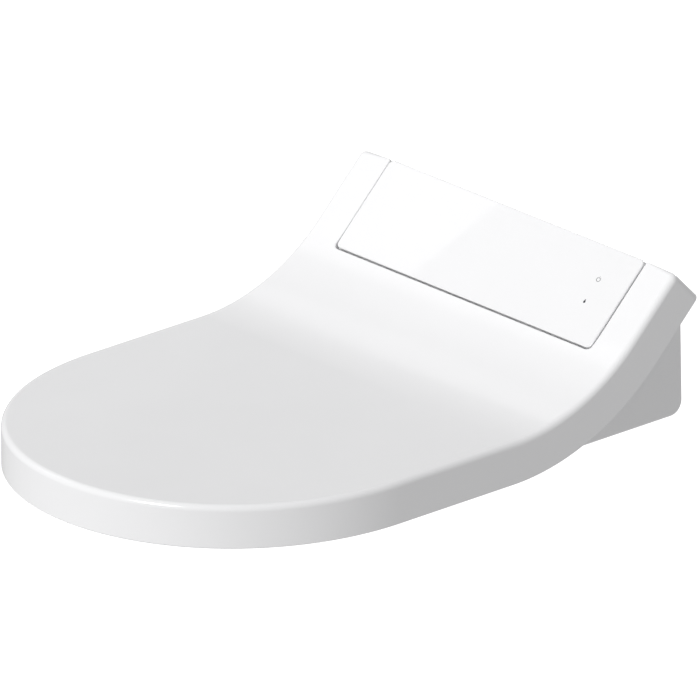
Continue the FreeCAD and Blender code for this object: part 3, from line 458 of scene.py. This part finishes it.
FINISHES = {
    "white_gloss": duroplast, "panel_gloss": acrylic, "white_matte": abs_white,
    "grey_plastic": grey_plastic, "black_plastic": nylon, "white_wand": acetal,
    "soft_rubber": silicone, "steel": steel, "brass": brass, "bush": acetal,
    "circuit_board": solder_mask, "coil": varnish, "tank": nylon, "foil": foil, "lens": diffuser,
}
slot_of = {part["node"]: part["material_slot"] for part in frame["record"]["subparts"]}
for node_name, node_object in frame["nodes"].items():
    node_object.data.materials.clear()
    node_object.data.materials.append(FINISHES[slot_of[node_name]])


def place_piece(piece, body, slot, *nodes):
    """Let a piece ride on its body and stand for the CAD nodes that it replaces."""
    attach(piece, body)
    if nodes:
        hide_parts(*nodes)
    return piece


# ---------------------------------------------------------------- the lid's swept line

SWEEP_RADIUS = 183 * MM
SLOPE = math.radians(44.3)
UPSTAND = 66 * MM
SKIRT = 36.3 * MM
WALL = 4 * MM
lid_low, lid_high = corners_of("lid")
lid_top = lid_high.z - SWEEP_RADIUS * (1 - math.cos(SLOPE)) - UPSTAND * math.sin(SLOPE)
sweep_y = lid_high.y - (SWEEP_RADIUS + SKIRT) * math.sin(SLOPE) - UPSTAND * math.cos(SLOPE)
ARC = SWEEP_RADIUS * SLOPE
STATIONS = [ARC * step / 48 for step in range(49)]


def bend(point):
    """Bend a flat plan (x, distance along the skin, height from the skin) into the sweep."""
    x, along, out = point
    turn = min(max(along / SWEEP_RADIUS, 0), SLOPE)
    reach = SWEEP_RADIUS - out
    spare = along if along < 0 else max(along - ARC, 0)
    y = sweep_y + reach * math.sin(turn) + spare * math.cos(turn)
    z = lid_top + SWEEP_RADIUS - reach * math.cos(turn) + spare * math.sin(turn)
    return Vector((x, y, z))


# ---------------------------------------------------------------- lid

NOSE_LENGTH = 195 * MM
NOSE_POWER = 2 / 2.04
NOTCH_GAP = 1.5 * MM
SIDE_GAP = 1.0 * MM
NOTCH_CORNER, NOTCH_END, ARM_END = 5 * MM, 2 * MM, 6 * MM
FLANGE = 8 * MM
RIM = 5 * MM
NOTCH_RIM = 1.0 * MM
LIP = 0.8 * MM
PANEL_LENGTH = 84.7 * MM
panel_half = corners_of("control_panel")[1].x
lid_half = lid_high.x
notch_half = panel_half + SIDE_GAP
lid_end = ARC + UPSTAND
notch_start = lid_end - PANEL_LENGTH - NOTCH_GAP
nose_y = lid_low.y + NOSE_LENGTH - sweep_y


def nose(half, length, centre_y, steps=96):
    """The lid's round front, from the left side to the right one."""
    points = []
    for step in range(steps + 1):
        turn = math.pi * step / steps
        across, ahead = math.cos(turn), math.sin(turn)
        x = -math.copysign(abs(across) ** NOSE_POWER, across) * half
        points.append(Vector((x, centre_y - ahead ** NOSE_POWER * length)))
    return points


def lid_outline():
    """The lid in plan, laid flat: anticlockwise from the right-hand arm."""
    back = rounded([
        (lid_half, 0, 0), (lid_half, lid_end, ARM_END), (notch_half, lid_end, NOTCH_END),
        (notch_half, notch_start, NOTCH_CORNER), (-notch_half, notch_start, NOTCH_CORNER),
        (-notch_half, lid_end, NOTCH_END), (-lid_half, lid_end, ARM_END), (-lid_half, 0, 0),
    ])
    return back + nose(lid_half, NOSE_LENGTH, nose_y)


def lid_piece():
    """The lid's shell: a wall thick all over, with a deep skirt and a finer rim at the notch."""
    outline = lid_outline()

    def section(number):
        """Inner wall, lip and outer wall, with a shallow flange round the notch."""
        point = outline[number]
        behind = point.y >= notch_start - NOTCH_CORNER
        in_notch = behind and abs(point.x) < notch_half + MM and point.y < lid_end - MM
        deep = FLANGE if in_notch else SKIRT
        share = (abs(point.x) - notch_half) / (lid_half - notch_half)
        rim = NOTCH_RIM + (RIM - NOTCH_RIM) * min(max(share, 0), 1) if behind else RIM
        if in_notch:
            rim = NOTCH_RIM
        rows = [(WALL, WALL), (WALL, deep - LIP), (WALL - LIP, deep), (LIP, deep), (0, deep - LIP)]
        return rows + turned_edge(rim, 10)

    bm = solid_plate(outline, section, bend, STATIONS)
    return smooth(new_piece("lid_shell", bm, duroplast))


place_piece(lid_piece(), "lid", "white_gloss", "lid")

hinge = Vector(next(joint["pos_m"] for joint in frame["joints"] if joint["name"] == "lid_hinge"))
HUB = 9 * MM
HUB_EDGE = 0.6 * MM
LID_HUB_START = 168.6 * MM


def sleeve(bm, start, end):
    """A round bar on the hinge axis with its edges broken."""
    tube(bm, (start, hinge.y, hinge.z), (1, 0, 0), (HUB - HUB_EDGE, HUB, HUB, HUB - HUB_EDGE),
         (0, HUB_EDGE, end - start - HUB_EDGE, end - start))


def lid_hubs():
    """The lid's round hubs, one at each side."""
    bm = bmesh.new()
    start, end = LID_HUB_START, lid_half - WALL
    sleeve(bm, start, end)
    sleeve(bm, -end, -start)
    return smooth(new_piece("lid_hubs", bm, duroplast))


place_piece(lid_hubs(), "lid", "white_gloss")

# ---------------------------------------------------------------- control panel

slope_up = Vector((0, math.cos(SLOPE), math.sin(SLOPE)))
slope_out = Vector((0, -math.sin(SLOPE), math.cos(SLOPE)))
panel_foot = bend((0, ARC, 0)) + slope_up * (UPSTAND - PANEL_LENGTH)
PANEL_PROUD = 0.8 * MM
PANEL_THICK = 3 * MM
PANEL_CORNER, PANEL_EDGE, PANEL_BREAK = 5 * MM, 1.2 * MM, 0.3 * MM


def on_slope(point):
    """Stand a plan (x, distance up the slope, distance out of it) on the unit's slope."""
    return panel_foot + slope_up * point[1] + slope_out * point[2] + Vector((point[0], 0, 0))


def panel_piece():
    """The glossy cover plate, a little proud of the lid, with round corners and a soft edge."""
    outline = rounded([
        (panel_half, 0, PANEL_CORNER), (panel_half, PANEL_LENGTH, PANEL_CORNER),
        (-panel_half, PANEL_LENGTH, PANEL_CORNER), (-panel_half, 0, PANEL_CORNER)], 10)
    sunk = PANEL_THICK - PANEL_PROUD
    rows = [(PANEL_BREAK, sunk), (0, sunk - PANEL_BREAK)]
    edge = [(inset, depth - PANEL_PROUD) for inset, depth in turned_edge(PANEL_EDGE, 8)]
    bm = solid_plate(outline, lambda number: rows + edge, on_slope)
    return smooth(new_piece("panel_cover", bm, acrylic))


place_piece(panel_piece(), "unit", "panel_gloss", "control_panel")

# ---------------------------------------------------------------- unit casing

unit_low, unit_high = corners_of("housing_cover")
unit_half = unit_high.x
UNIT_WALL = 3 * MM
UNIT_CLEAR = 11 * MM
REAR_TOP = unit_high.y - 2.5 * MM
SHOULDER = 110 * MM
CASING_EDGE = 2.5 * MM
SLOPE_LOW = 3.2 * MM
REAR_FOOT, REAR_SHOULDER, CREST, BROW, TOE = 12 * MM, 6 * MM, 3 * MM, 4 * MM, 5 * MM
TUNNEL_HALF, TUNNEL_DEEP, TUNNEL_TOP = 114.8 * MM, 12 * MM, 15.2 * MM
MOUTH_HALF, MOUTH_DEEP, MOUTH_TOP = 13 * MM, 4 * MM, 18 * MM
COLLAR = 2 * MM
PORT_HOLE, GLAND_HOLE, BUSH_HOLE = 15 * MM, 9.05 * MM, 7.02 * MM


def casing_side(inset):
    """The casing's side view (y, z) from its rear lower corner, set in by an inset."""
    step = panel_foot + slope_up * inset - slope_out * (UNIT_CLEAR + inset)
    top = panel_foot + slope_up * (PANEL_LENGTH - inset) - slope_out * (SLOPE_LOW + inset)
    foot = panel_foot + slope_up * inset - slope_out * (SLOPE_LOW + inset)
    centre = Vector((sweep_y, lid_top + SWEEP_RADIUS))
    reach = (step.yz - centre).length
    start = math.degrees(math.atan2(step.z - centre.y, step.y - centre.x))
    front = unit_low.y + inset
    end = -math.degrees(math.acos((front - centre.x) / reach))
    fall = arc(centre, reach, start, end, 16)
    soft = 0 if inset else 1
    base = unit_low.z - (1 * MM if inset else 0)
    corners = [
        (unit_high.y - inset, base, REAR_FOOT * soft),
        (REAR_TOP - inset, SHOULDER - inset / 2, REAR_SHOULDER),
        (top.y, top.z, CREST), (foot.y, foot.z, 0), (step.y, step.z, 0),
    ] + [(point.x, point.y, 0) for point in fall[1:-1]] + [
        (fall[-1].x, fall[-1].y, BROW), (front, base, TOE * soft),
    ]
    return rounded(corners, 10)


def casing_block(inset, half, edge):
    """A solid of the casing's side view between two sides, with round side edges."""
    outline = casing_side(inset)
    bm = bmesh.new()
    rows = [(back, half - depth) for back, depth in turned_edge(edge)]
    section = [(back, -reach) for back, reach in rows[::-1]] + rows
    made = loops(bm, outline, inward(outline), lambda number: section)
    bm.faces.new(made[-1])
    bm.faces.new(made[0][::-1])
    move(bm, lambda point: Vector((point[2], point[0], point[1])))
    bmesh.ops.triangulate(bm, faces=[face for face in bm.faces if len(face.verts) > 4])
    close(bm)
    return bm


def casing_piece():
    """The casing: a hollow shell open below, with its tunnel, mouth, window and ports cut out."""
    piece = new_piece("housing_shell", casing_block(0, unit_half, CASING_EDGE), duroplast)
    carve(piece, casing_block(UNIT_WALL, unit_half - UNIT_WALL, 1 * MM))
    holes = bmesh.new()
    block(holes, (-TUNNEL_HALF, unit_high.y - TUNNEL_DEEP, -1 * MM),
          (TUNNEL_HALF, unit_high.y + MM, TUNNEL_TOP))
    block(holes, (-MOUTH_HALF, unit_low.y - MM, -MM),
          (MOUTH_HALF, unit_low.y + MOUTH_DEEP, MOUTH_TOP))
    for name, gap in (("release_button", 0.4 * MM), ("night_light_lens", 0.05 * MM)):
        low, high = corners_of(name)
        if name == "release_button":
            low, high = low + Vector((0, COLLAR, COLLAR)), high - Vector((0, COLLAR, COLLAR))
            high.x = -unit_half + UNIT_WALL + MM
        block(holes, low - Vector((MM, gap, gap)), high + Vector((0, gap + MM, gap)))
    for name, radius in (("water_inlet", PORT_HOLE), ("cable_gland", GLAND_HOLE)):
        low, high = corners_of(name)
        middle = (low + high) / 2
        tube(holes, (middle.x, unit_high.y - 12 * MM, middle.z), (0, 1, 0), (radius, radius),
             (0, 20 * MM))
    tube(holes, (-unit_half - MM, hinge.y, hinge.z), (1, 0, 0), (BUSH_HOLE, BUSH_HOLE),
         (0, unit_half * 2 + 2 * MM))
    carve(piece, holes)
    return smooth(piece, 30)


place_piece(casing_piece(), "unit", "white_gloss", "housing_cover")

# ---------------------------------------------------------------- seat ring

RING_WALL, BASE_PLAY = 3 * MM, 0.2 * MM
RING_CORNER = 14 * MM
RING_EDGE, BOWL_EDGE = 7 * MM, 8 * MM
FOOT_BREAK, FOOT_CHAMFER = 0.6 * MM, 0.4 * MM
ROOF_OUTER, ROOF_INNER = 6 * MM, 7.4 * MM
OUTLINE_STEP = 5 * MM
FACE_ROWS = 24
RELIEF_HALF, RELIEF_DEEP, RELIEF_TALL = 13 * MM, 16 * MM, 9 * MM
BOWL_HALF = 107.5 * MM
BOWL_REACH = 117.5 * MM
bowl_centre = Vector((0, -267.5 * MM))
seat_low, seat_high = corners_of("seat_ring")
ring_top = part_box("seat_heater_foil")[1][2] + RING_WALL
ring_rear = corners_of("seat_base")[1].y + RING_WALL + BASE_PLAY
ring_half = seat_high.x
nose_centre = lid_low.y + NOSE_LENGTH


def ring_outline():
    """The seat in plan, with points close together all the way round."""
    start = nose_centre + 20 * MM
    back = rounded([(ring_half, start, 0), (ring_half, ring_rear, RING_CORNER),
                    (-ring_half, ring_rear, RING_CORNER), (-ring_half, start, 0)], 12)
    corners = back + nose(ring_half, NOSE_LENGTH - (lid_half - ring_half), nose_centre)
    outline = []
    for here, after in zip(corners, corners[1:] + corners[:1]):
        steps = max(1, round((after - here).length / OUTLINE_STEP))
        outline += [here.lerp(after, step / steps) for step in range(steps)]
    return outline


def dish(share):
    """How far the seat's face lies below its crown, from the outer rim (0) to the inner one (1)."""
    return 1.5 * MM * (share - 0.3) ** 2 / 0.49 + 0.7 * MM * max(share - 0.55, 0) ** 2 / 0.2


def ring_piece():
    """A moulded seat: round outer rim, gently dished face and a rolled inner rim, hollow below."""
    outer = ring_outline()
    rays = [point - bowl_centre for point in outer]
    bowl = [bowl_centre + ray * (1 / math.hypot(ray.x / BOWL_HALF, ray.y / BOWL_REACH))
            for ray in rays]
    normals = inward(outer)
    bm = bmesh.new()

    def row(outer_inset, bowl_inset, share, height):
        """A closed row of vertices, a share of the way from the outer wall to the bowl's."""
        made = []
        for rim, normal, hole in zip(outer, normals, bowl):
            start = rim + normal * outer_inset
            end = hole + (hole - bowl_centre).normalized() * bowl_inset
            made.append(bm.verts.new((*start.lerp(end, share), height)))
        return made

    low, top, wall = seat_low.z, ring_top, RING_WALL
    rows = [row(inset, 0, 0, height) for inset, height in (
        (wall, top - ROOF_OUTER), (wall, low + FOOT_CHAMFER), (wall - FOOT_CHAMFER, low),
        (FOOT_BREAK, low), (0, low + FOOT_BREAK))]
    rows += [row(inset, 0, 0, top - dish(0) - depth) for inset, depth in turned_edge(RING_EDGE, 8)]
    rows += [row(RING_EDGE, BOWL_EDGE, step / FACE_ROWS, top - dish(step / FACE_ROWS))
             for step in range(1, FACE_ROWS)]
    rows += [row(0, inset, 1, top - dish(1) - depth)
             for inset, depth in turned_edge(BOWL_EDGE, 8)[::-1]]
    rows += [row(0, inset, 1, height) for inset, height in (
        (0, low + FOOT_BREAK), (FOOT_BREAK, low), (wall - FOOT_CHAMFER, low),
        (wall, low + FOOT_CHAMFER), (wall, top - ROOF_INNER))]
    for below, above in zip(rows, rows[1:] + rows[:1]):
        for number in range(len(outer)):
            after = (number + 1) % len(outer)
            bm.faces.new((below[number], below[after], above[after], above[number]))
    close(bm)
    piece = new_piece("seat_shell", bm, duroplast)
    # The wand passes under the rear bar: a relief with its own roof and walls inside the hollow.
    roof, relief = bmesh.new(), bmesh.new()
    block(roof, (-RELIEF_HALF - wall, ring_rear - RELIEF_DEEP - wall, low + FOOT_CHAMFER),
          (RELIEF_HALF + wall, ring_rear - wall / 2, low + RELIEF_TALL + wall))
    block(relief, (-RELIEF_HALF, ring_rear - RELIEF_DEEP, low - MM),
          (RELIEF_HALF, ring_rear + MM, low + RELIEF_TALL))
    carve(piece, roof, "UNION")
    return smooth(carve(piece, relief), 40)


ARM_INNER, HUB_SPLIT, HUB_INNER = 157 * MM, 168 * MM, 151.6 * MM
ARM_HIGH, ARM_LOW, ARM_EDGE = 13 * MM, 28 * MM, 1.5 * MM
ARM_ROOT = 40 * MM
HINGE_UP = 50 * MM
arm_start = ring_rear - ARM_ROOT - sweep_y
arm_end = ARC + UPSTAND - PANEL_LENGTH + HINGE_UP


def arm_piece():
    """The two arms that carry the ring: swept bars under the lid's sides, with round hubs."""
    piece = None
    for side in (-1, 1):
        near, far = sorted((side * ARM_INNER, side * HUB_SPLIT))
        outline = [Vector(corner) for corner in (
            (far, arm_start), (far, arm_end), (near, arm_end), (near, arm_start))]
        part = ARM_EDGE * 0.3
        rows = [(ARM_EDGE, ARM_LOW), (part, ARM_LOW - part), (0, ARM_LOW - ARM_EDGE),
                (0, ARM_HIGH + ARM_EDGE), (part, ARM_HIGH + part), (ARM_EDGE, ARM_HIGH)]
        arm = solid_plate(outline, lambda number: rows, bend, STATIONS)
        hub = bmesh.new()
        sleeve(hub, *sorted((side * HUB_INNER, side * HUB_SPLIT)))
        if piece is None:
            piece = new_piece("seat_arms", arm, duroplast)
        else:
            carve(piece, arm, "UNION")
        carve(piece, hub, "UNION")
    return smooth(piece)


place_piece(ring_piece(), "seat", "white_gloss", "seat_ring")
place_piece(arm_piece(), "seat", "white_gloss")

# ---------------------------------------------------------------- rubber feet and buffers

STUD_EDGE = 1.4 * MM
studs, bars = stud_tree(), bar_tree()
for node_name, body in (("seat_feet", "seat"), ("lid_buffers", "lid")):
    pads = solids_of(node_name)
    low, high = pads[0]
    tops = [((a.x + b.x) / 2, (a.y + b.y) / 2, b.z) for a, b in pads]
    radius = (high.x - low.x) / 2
    place_piece(grow(node_name.replace("_", "_rubber_"), tops, studs, {
        "Radius": radius, "Height": high.z - low.z, "Edge": STUD_EDGE, "Sides": 48,
        "Turn": (math.pi, 0, 0), "Material": silicone,
    }), body, "soft_rubber", node_name)

# ---------------------------------------------------------------- touch marks and night light

MARK_LIFT = 0.05 * MM
MARK_X, POWER_UP, DROP_UP = 118 * MM, 56 * MM, 35 * MM
STROKE, POWER_RADIUS, DROP_RADIUS = 0.42 * MM, 2.0 * MM, 1.15 * MM


def ribbon(bm, path, width):
    """A thin flat stroke along an open path of the panel."""
    along = [(b - a).normalized() for a, b in zip(path, path[1:])]
    along = [along[0]] + [(a + b).normalized() for a, b in zip(along, along[1:])] + [along[-1]]
    rows = []
    for height in (PANEL_PROUD - MARK_LIFT, PANEL_PROUD + MARK_LIFT):
        for side in (-1, 1):
            rows.append([bm.verts.new(on_slope((
                point.x - turn.y * side * width / 2, point.y + turn.x * side * width / 2, height)))
                for point, turn in zip(path, along)])
    low_left, low_right, high_left, high_right = rows
    for one, other in ((low_left, low_right), (high_right, high_left), (low_right, high_right),
                       (high_left, low_left)):
        for k in range(len(path) - 1):
            bm.faces.new((one[k], one[k + 1], other[k + 1], other[k]))
    for k in (0, -1):
        bm.faces.new((low_left[k], low_right[k], high_right[k], high_left[k]))


def touch_marks():
    """A power symbol and a water drop, printed at the panel's right-hand end."""
    bm = bmesh.new()
    ribbon(bm, arc((MARK_X, POWER_UP), POWER_RADIUS, 125, 415, 40), STROKE)
    ribbon(bm, [Vector((MARK_X, POWER_UP + up)) for up in (0.5 * MM, 2.7 * MM)], STROKE)
    round_end = arc((MARK_X, DROP_UP - 0.6 * MM), DROP_RADIUS, 150, 390, 24)
    drop = [Vector((MARK_X, DROP_UP + 2.1 * MM))] + round_end
    low = [bm.verts.new(on_slope((p.x, p.y, PANEL_PROUD - MARK_LIFT))) for p in drop]
    high = [bm.verts.new(on_slope((p.x, p.y, PANEL_PROUD + MARK_LIFT))) for p in drop]
    bm.faces.new(low[::-1])
    bm.faces.new(high)
    for k in range(len(drop)):
        after = (k + 1) % len(drop)
        bm.faces.new((low[k], low[after], high[after], high[k]))
    close(bm, 1e-7)
    return new_piece("touch_marks", bm, touch_ink)


place_piece(touch_marks(), "unit", "grey_plastic")


def front_lens():
    """The night light's lens: a round-edged bar set into the casing's front wall."""
    low, high = corners_of("night_light_lens")
    corner, edge = 0.5 * MM, 0.4 * MM
    outline = rounded([(high.x, low.z, corner), (high.x, high.z, corner), (low.x, high.z, corner),
                       (low.x, low.z, corner)], 6)
    rows = [(0, 0.0)] + [(inset, low.y - high.y + depth) for inset, depth in turned_edge(edge, 4)]
    bm = solid_plate(outline, lambda number: rows,
                     lambda point: Vector((point.x, high.y - point.z, point.y)))
    return smooth(new_piece("front_lens", bm, diffuser))


place_piece(front_lens(), "unit", "lens", "night_light_lens")

# ---------------------------------------------------------------- release button

BUTTON_CORNER, BUTTON_EDGE, BUTTON_PLAY, STEM_HALF = 2 * MM, 0.8 * MM, 0.4 * MM, 3 * MM
RIB_PITCH, RIB_RADIUS, RIB_LENGTH = 2.4 * MM, 0.45 * MM, 7 * MM
button_low, button_high = corners_of("release_button")
button_middle = (button_low + button_high) / 2


def button_piece():
    """A push plate with soft edges on its collar and stem."""
    low, high, middle = button_low, button_high, button_middle
    face_low, face_high = low + Vector((0, COLLAR, COLLAR)), high - Vector((0, COLLAR, COLLAR))
    outline = rounded([(y, z, BUTTON_CORNER) for y, z in (
        (face_high.y, face_low.z), (face_high.y, face_high.z),
        (face_low.y, face_high.z), (face_low.y, face_low.z))], 8)
    back = -unit_half + UNIT_WALL + BUTTON_PLAY
    rows = [(0, -back)] + [(inset, -low.x - depth) for inset, depth in turned_edge(BUTTON_EDGE, 5)]
    bm = solid_plate(outline, lambda number: rows,
                     lambda point: Vector((point.z, point.x, point.y)))
    block(bm, (back, low.y, low.z), (back + COLLAR, high.y, high.z))
    block(bm, (back, middle.y - STEM_HALF, middle.z - STEM_HALF),
          (high.x, middle.y + STEM_HALF, middle.z + STEM_HALF))
    bmesh.ops.recalc_face_normals(bm, faces=bm.faces[:])
    return smooth(new_piece("release_plate", bm, grey_plastic))


place_piece(button_piece(), "button", "grey_plastic", "release_button")
rib_points = [(button_low.x, button_middle.y + step * RIB_PITCH, button_middle.z)
              for step in range(-3, 4)]
place_piece(grow("release_ribs", rib_points, bars, {
    "Radius": RIB_RADIUS, "Length": RIB_LENGTH, "Turn": (0, math.pi / 2, 0),
    "Material": grey_plastic,
}), "button", "grey_plastic")

# ---------------------------------------------------------------- water inlet and cable gland

def lathe(name, node_name, profile, bore, material, sides=64):
    """A turned piece along +Y at a node's place: (radius, length) rows round a through bore."""
    low, high = corners_of(node_name)
    start = Vector(((low.x + high.x) / 2, low.y, (low.z + high.z) / 2))
    radii, lengths = zip(*profile)
    bm = bmesh.new()
    tube(bm, start, (0, 1, 0), radii, lengths, sides)
    piece = new_piece(name, bm, material)
    hole = bmesh.new()
    reach = high.y - low.y
    tube(hole, start, (0, 1, 0), (bore, bore), (-MM, reach + MM), sides)
    return smooth(carve(piece, hole), 30)


def inlet_piece():
    """A brass spigot with the rounded crests of a G half inch pipe thread."""
    low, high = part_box("water_inlet")
    length, radius = high[1] - low[1], (high[0] - low[0]) / 2
    pitch, depth, plain = 1.81 * MM, 1.1 * MM, 4 * MM
    rows = [(radius - 0.3 * MM, 0), (radius, 0.3 * MM), (radius, plain)]
    at = plain
    while at + pitch < length - 0.8 * MM:
        rows += [(radius - depth, at + pitch * 0.4), (radius - depth, at + pitch * 0.5),
                 (radius, at + pitch * 0.9), (radius, at + pitch)]
        at += pitch
    rows += [(radius - 0.2 * MM, length - 0.8 * MM), (radius - 1.0 * MM, length)]
    return lathe("inlet_spigot", "water_inlet", rows, 6 * MM, brass)


def gland_piece():
    """A cable gland: domed outside, with its nut behind the wall."""
    low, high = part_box("cable_gland")
    length, nut = high[1] - low[1], (high[0] - low[0]) / 2
    chamfer, thick, dome, bore = 0.8 * MM, 6 * MM, 3 * MM, 3.5 * MM
    body = nut - dome
    rows = [(nut - chamfer, 0), (nut, chamfer), (nut, thick - chamfer), (nut - chamfer, thick),
            (body, thick + 0.01 * MM), (body, length - dome)]
    rows += [(body - inset, length - depth) for inset, depth in turned_edge(dome)[1:6]]
    return lathe("gland_body", "cable_gland", rows, bore, nylon)


place_piece(inlet_piece(), "unit", "brass", "water_inlet")
place_piece(gland_piece(), "unit", "black_plastic", "cable_gland")

# ---------------------------------------------------------------- floor, light, camera

AZIMUTH, ELEVATION = math.radians(47.83), math.radians(21.68)
VIEW_WIDTH, VIEW_DISTANCE, SENSOR = 557.5 * MM, 22.0, 36
VIEW_TARGET = Vector((8.65, -139.3, 73.7)) * MM
view_out = Vector((math.sin(AZIMUTH) * math.cos(ELEVATION),
                   -math.cos(AZIMUTH) * math.cos(ELEVATION), math.sin(ELEVATION)))
stage_middle = Vector((0, -150, 70)) * MM
WHITE = (1, 1, 1, 1)
SHOWN_WHITE = 1.3


def camera():
    """A very long lens from far off: the view is as good as parallel."""
    data = bpy.data.cameras.new("camera")
    data.sensor_width = SENSOR
    data.lens = SENSOR * VIEW_DISTANCE / VIEW_WIDTH
    data.clip_end = 100
    view = bpy.data.objects.new("camera", data)
    view.location = VIEW_TARGET + view_out * VIEW_DISTANCE
    view.rotation_euler = view_out.to_track_quat("Z", "Y").to_euler()
    bpy.context.scene.collection.objects.link(view)
    bpy.context.scene.camera = view


def stage_floor():
    """A wide pale floor that shows as plain white, and lights the underside softly.

    It lies below the lowest point that the wand reaches as it dips into the bowl."""
    drop, half, glow_level = 45 * MM, 400, 0.58
    bm = bmesh.new()
    bmesh.ops.create_grid(bm, x_segments=1, y_segments=1, size=half)
    material = bpy.data.materials.new("studio_floor")
    material.use_nodes = True
    tree = material.node_tree
    tree.nodes.clear()
    seen = add(tree, "ShaderNodeLightPath").outputs["Is Camera Ray"]
    level = add(tree, "ShaderNodeMapRange", {"To Min": glow_level, "To Max": SHOWN_WHITE},
                {"Value": seen})
    glow = add(tree, "ShaderNodeEmission", {"Color": WHITE}, {"Strength": level.outputs["Result"]})
    add(tree, "ShaderNodeOutputMaterial", {}, {"Surface": glow.outputs[0]})
    floor = new_piece("floor", bm, material)
    floor.location.z = -drop


def mirrored(lean, distance):
    """Where a light has to stand for a face that leans back by an angle to mirror it."""
    facing = Vector((0, -math.sin(math.radians(lean)), math.cos(math.radians(lean))))
    return stage_middle + (facing * 2 * facing.dot(view_out) - view_out).normalized() * distance


def softbox(name, place, size, power, upright=None):
    """A flat rectangular light that faces the object, with its height along upright."""
    data = bpy.data.lights.new(name, "AREA")
    data.shape = "RECTANGLE"
    data.size, data.size_y = size
    data.energy = power
    lamp = bpy.data.objects.new(name, data)
    lamp.location = place
    back = (place - stage_middle).normalized()
    turn = back.to_track_quat("Z", "Y")
    if upright:
        side = upright.cross(back).normalized()
        turn = Matrix((side, back.cross(side), back)).transposed().to_quaternion()
    lamp.rotation_euler = turn.to_euler()
    bpy.context.scene.collection.objects.link(lamp)


LINE_RIGHT, LINE_UP = 0.776, 0.63
LINE_SHIFT = Vector((40, 0, 0)) * MM


def panel_line(distance, size, power):
    """A far box whose edge the glossy panel mirrors as one slanting line across it."""
    low, high = corners_of("control_panel")
    right = Vector((0, 0, 1)).cross(view_out).normalized()
    over = view_out.cross(right)
    edge = (right * LINE_RIGHT + over * LINE_UP).normalized()
    outwards = (over * LINE_RIGHT - right * LINE_UP).normalized()
    middle = (low + high) / 2 - LINE_SHIFT
    ghost = middle - view_out * distance + outwards * size / 2
    place = ghost - slope_out * 2 * slope_out.dot(ghost - middle)
    upright = edge - slope_out * 2 * slope_out.dot(edge)
    softbox("panel_line", place, (size, size * 2), power, upright)


def sun(name, direction, strength, angle):
    """A far round light from a direction, as wide as an angle in degrees."""
    data = bpy.data.lights.new(name, "SUN")
    data.energy = strength
    data.angle = math.radians(angle)
    lamp = bpy.data.objects.new(name, data)
    lamp.rotation_euler = Vector(direction).to_track_quat("Z", "Y").to_euler()
    bpy.context.scene.collection.objects.link(lamp)


def world():
    """White all round to look at, with a soft fill that falls off towards +X."""
    left_fill, right_fill = 0.56, 0.3
    sky = bpy.data.worlds.new("studio")
    sky.use_nodes = True
    tree = sky.node_tree
    back = tree.nodes["Background"]
    back.inputs["Color"].default_value = WHITE
    seen = add(tree, "ShaderNodeLightPath").outputs["Is Camera Ray"]
    facing = add(tree, "ShaderNodeTexCoord").outputs["Generated"]
    across = add(tree, "ShaderNodeSeparateXYZ", {}, {"Vector": facing}).outputs["X"]
    fill = add(tree, "ShaderNodeMapRange", {
        "From Min": -1, "From Max": 1, "To Min": left_fill, "To Max": right_fill,
    }, {"Value": across})
    level = add(tree, "ShaderNodeMapRange", {"To Max": SHOWN_WHITE},
                {"Value": seen, "To Min": fill.outputs["Result"]})
    tree.links.new(level.outputs["Result"], back.inputs["Strength"])
    bpy.context.scene.world = sky


camera()
stage_floor()
# The lid's sweep mirrors this box as one soft band across it.
softbox("sweep_box", mirrored(15.5, 3.0), (0.6, 0.5), 0.5)
panel_line(6.0, 1.2, 8.0)
sun("key", (0.04, -0.48, 0.418), 1.99, 20)
sun("back", (-0.3, 0.7, 0.03), 0.9, 15)
world()
bpy.context.scene.view_settings.view_transform = "Standard"

bpy.context.view_layer.update()
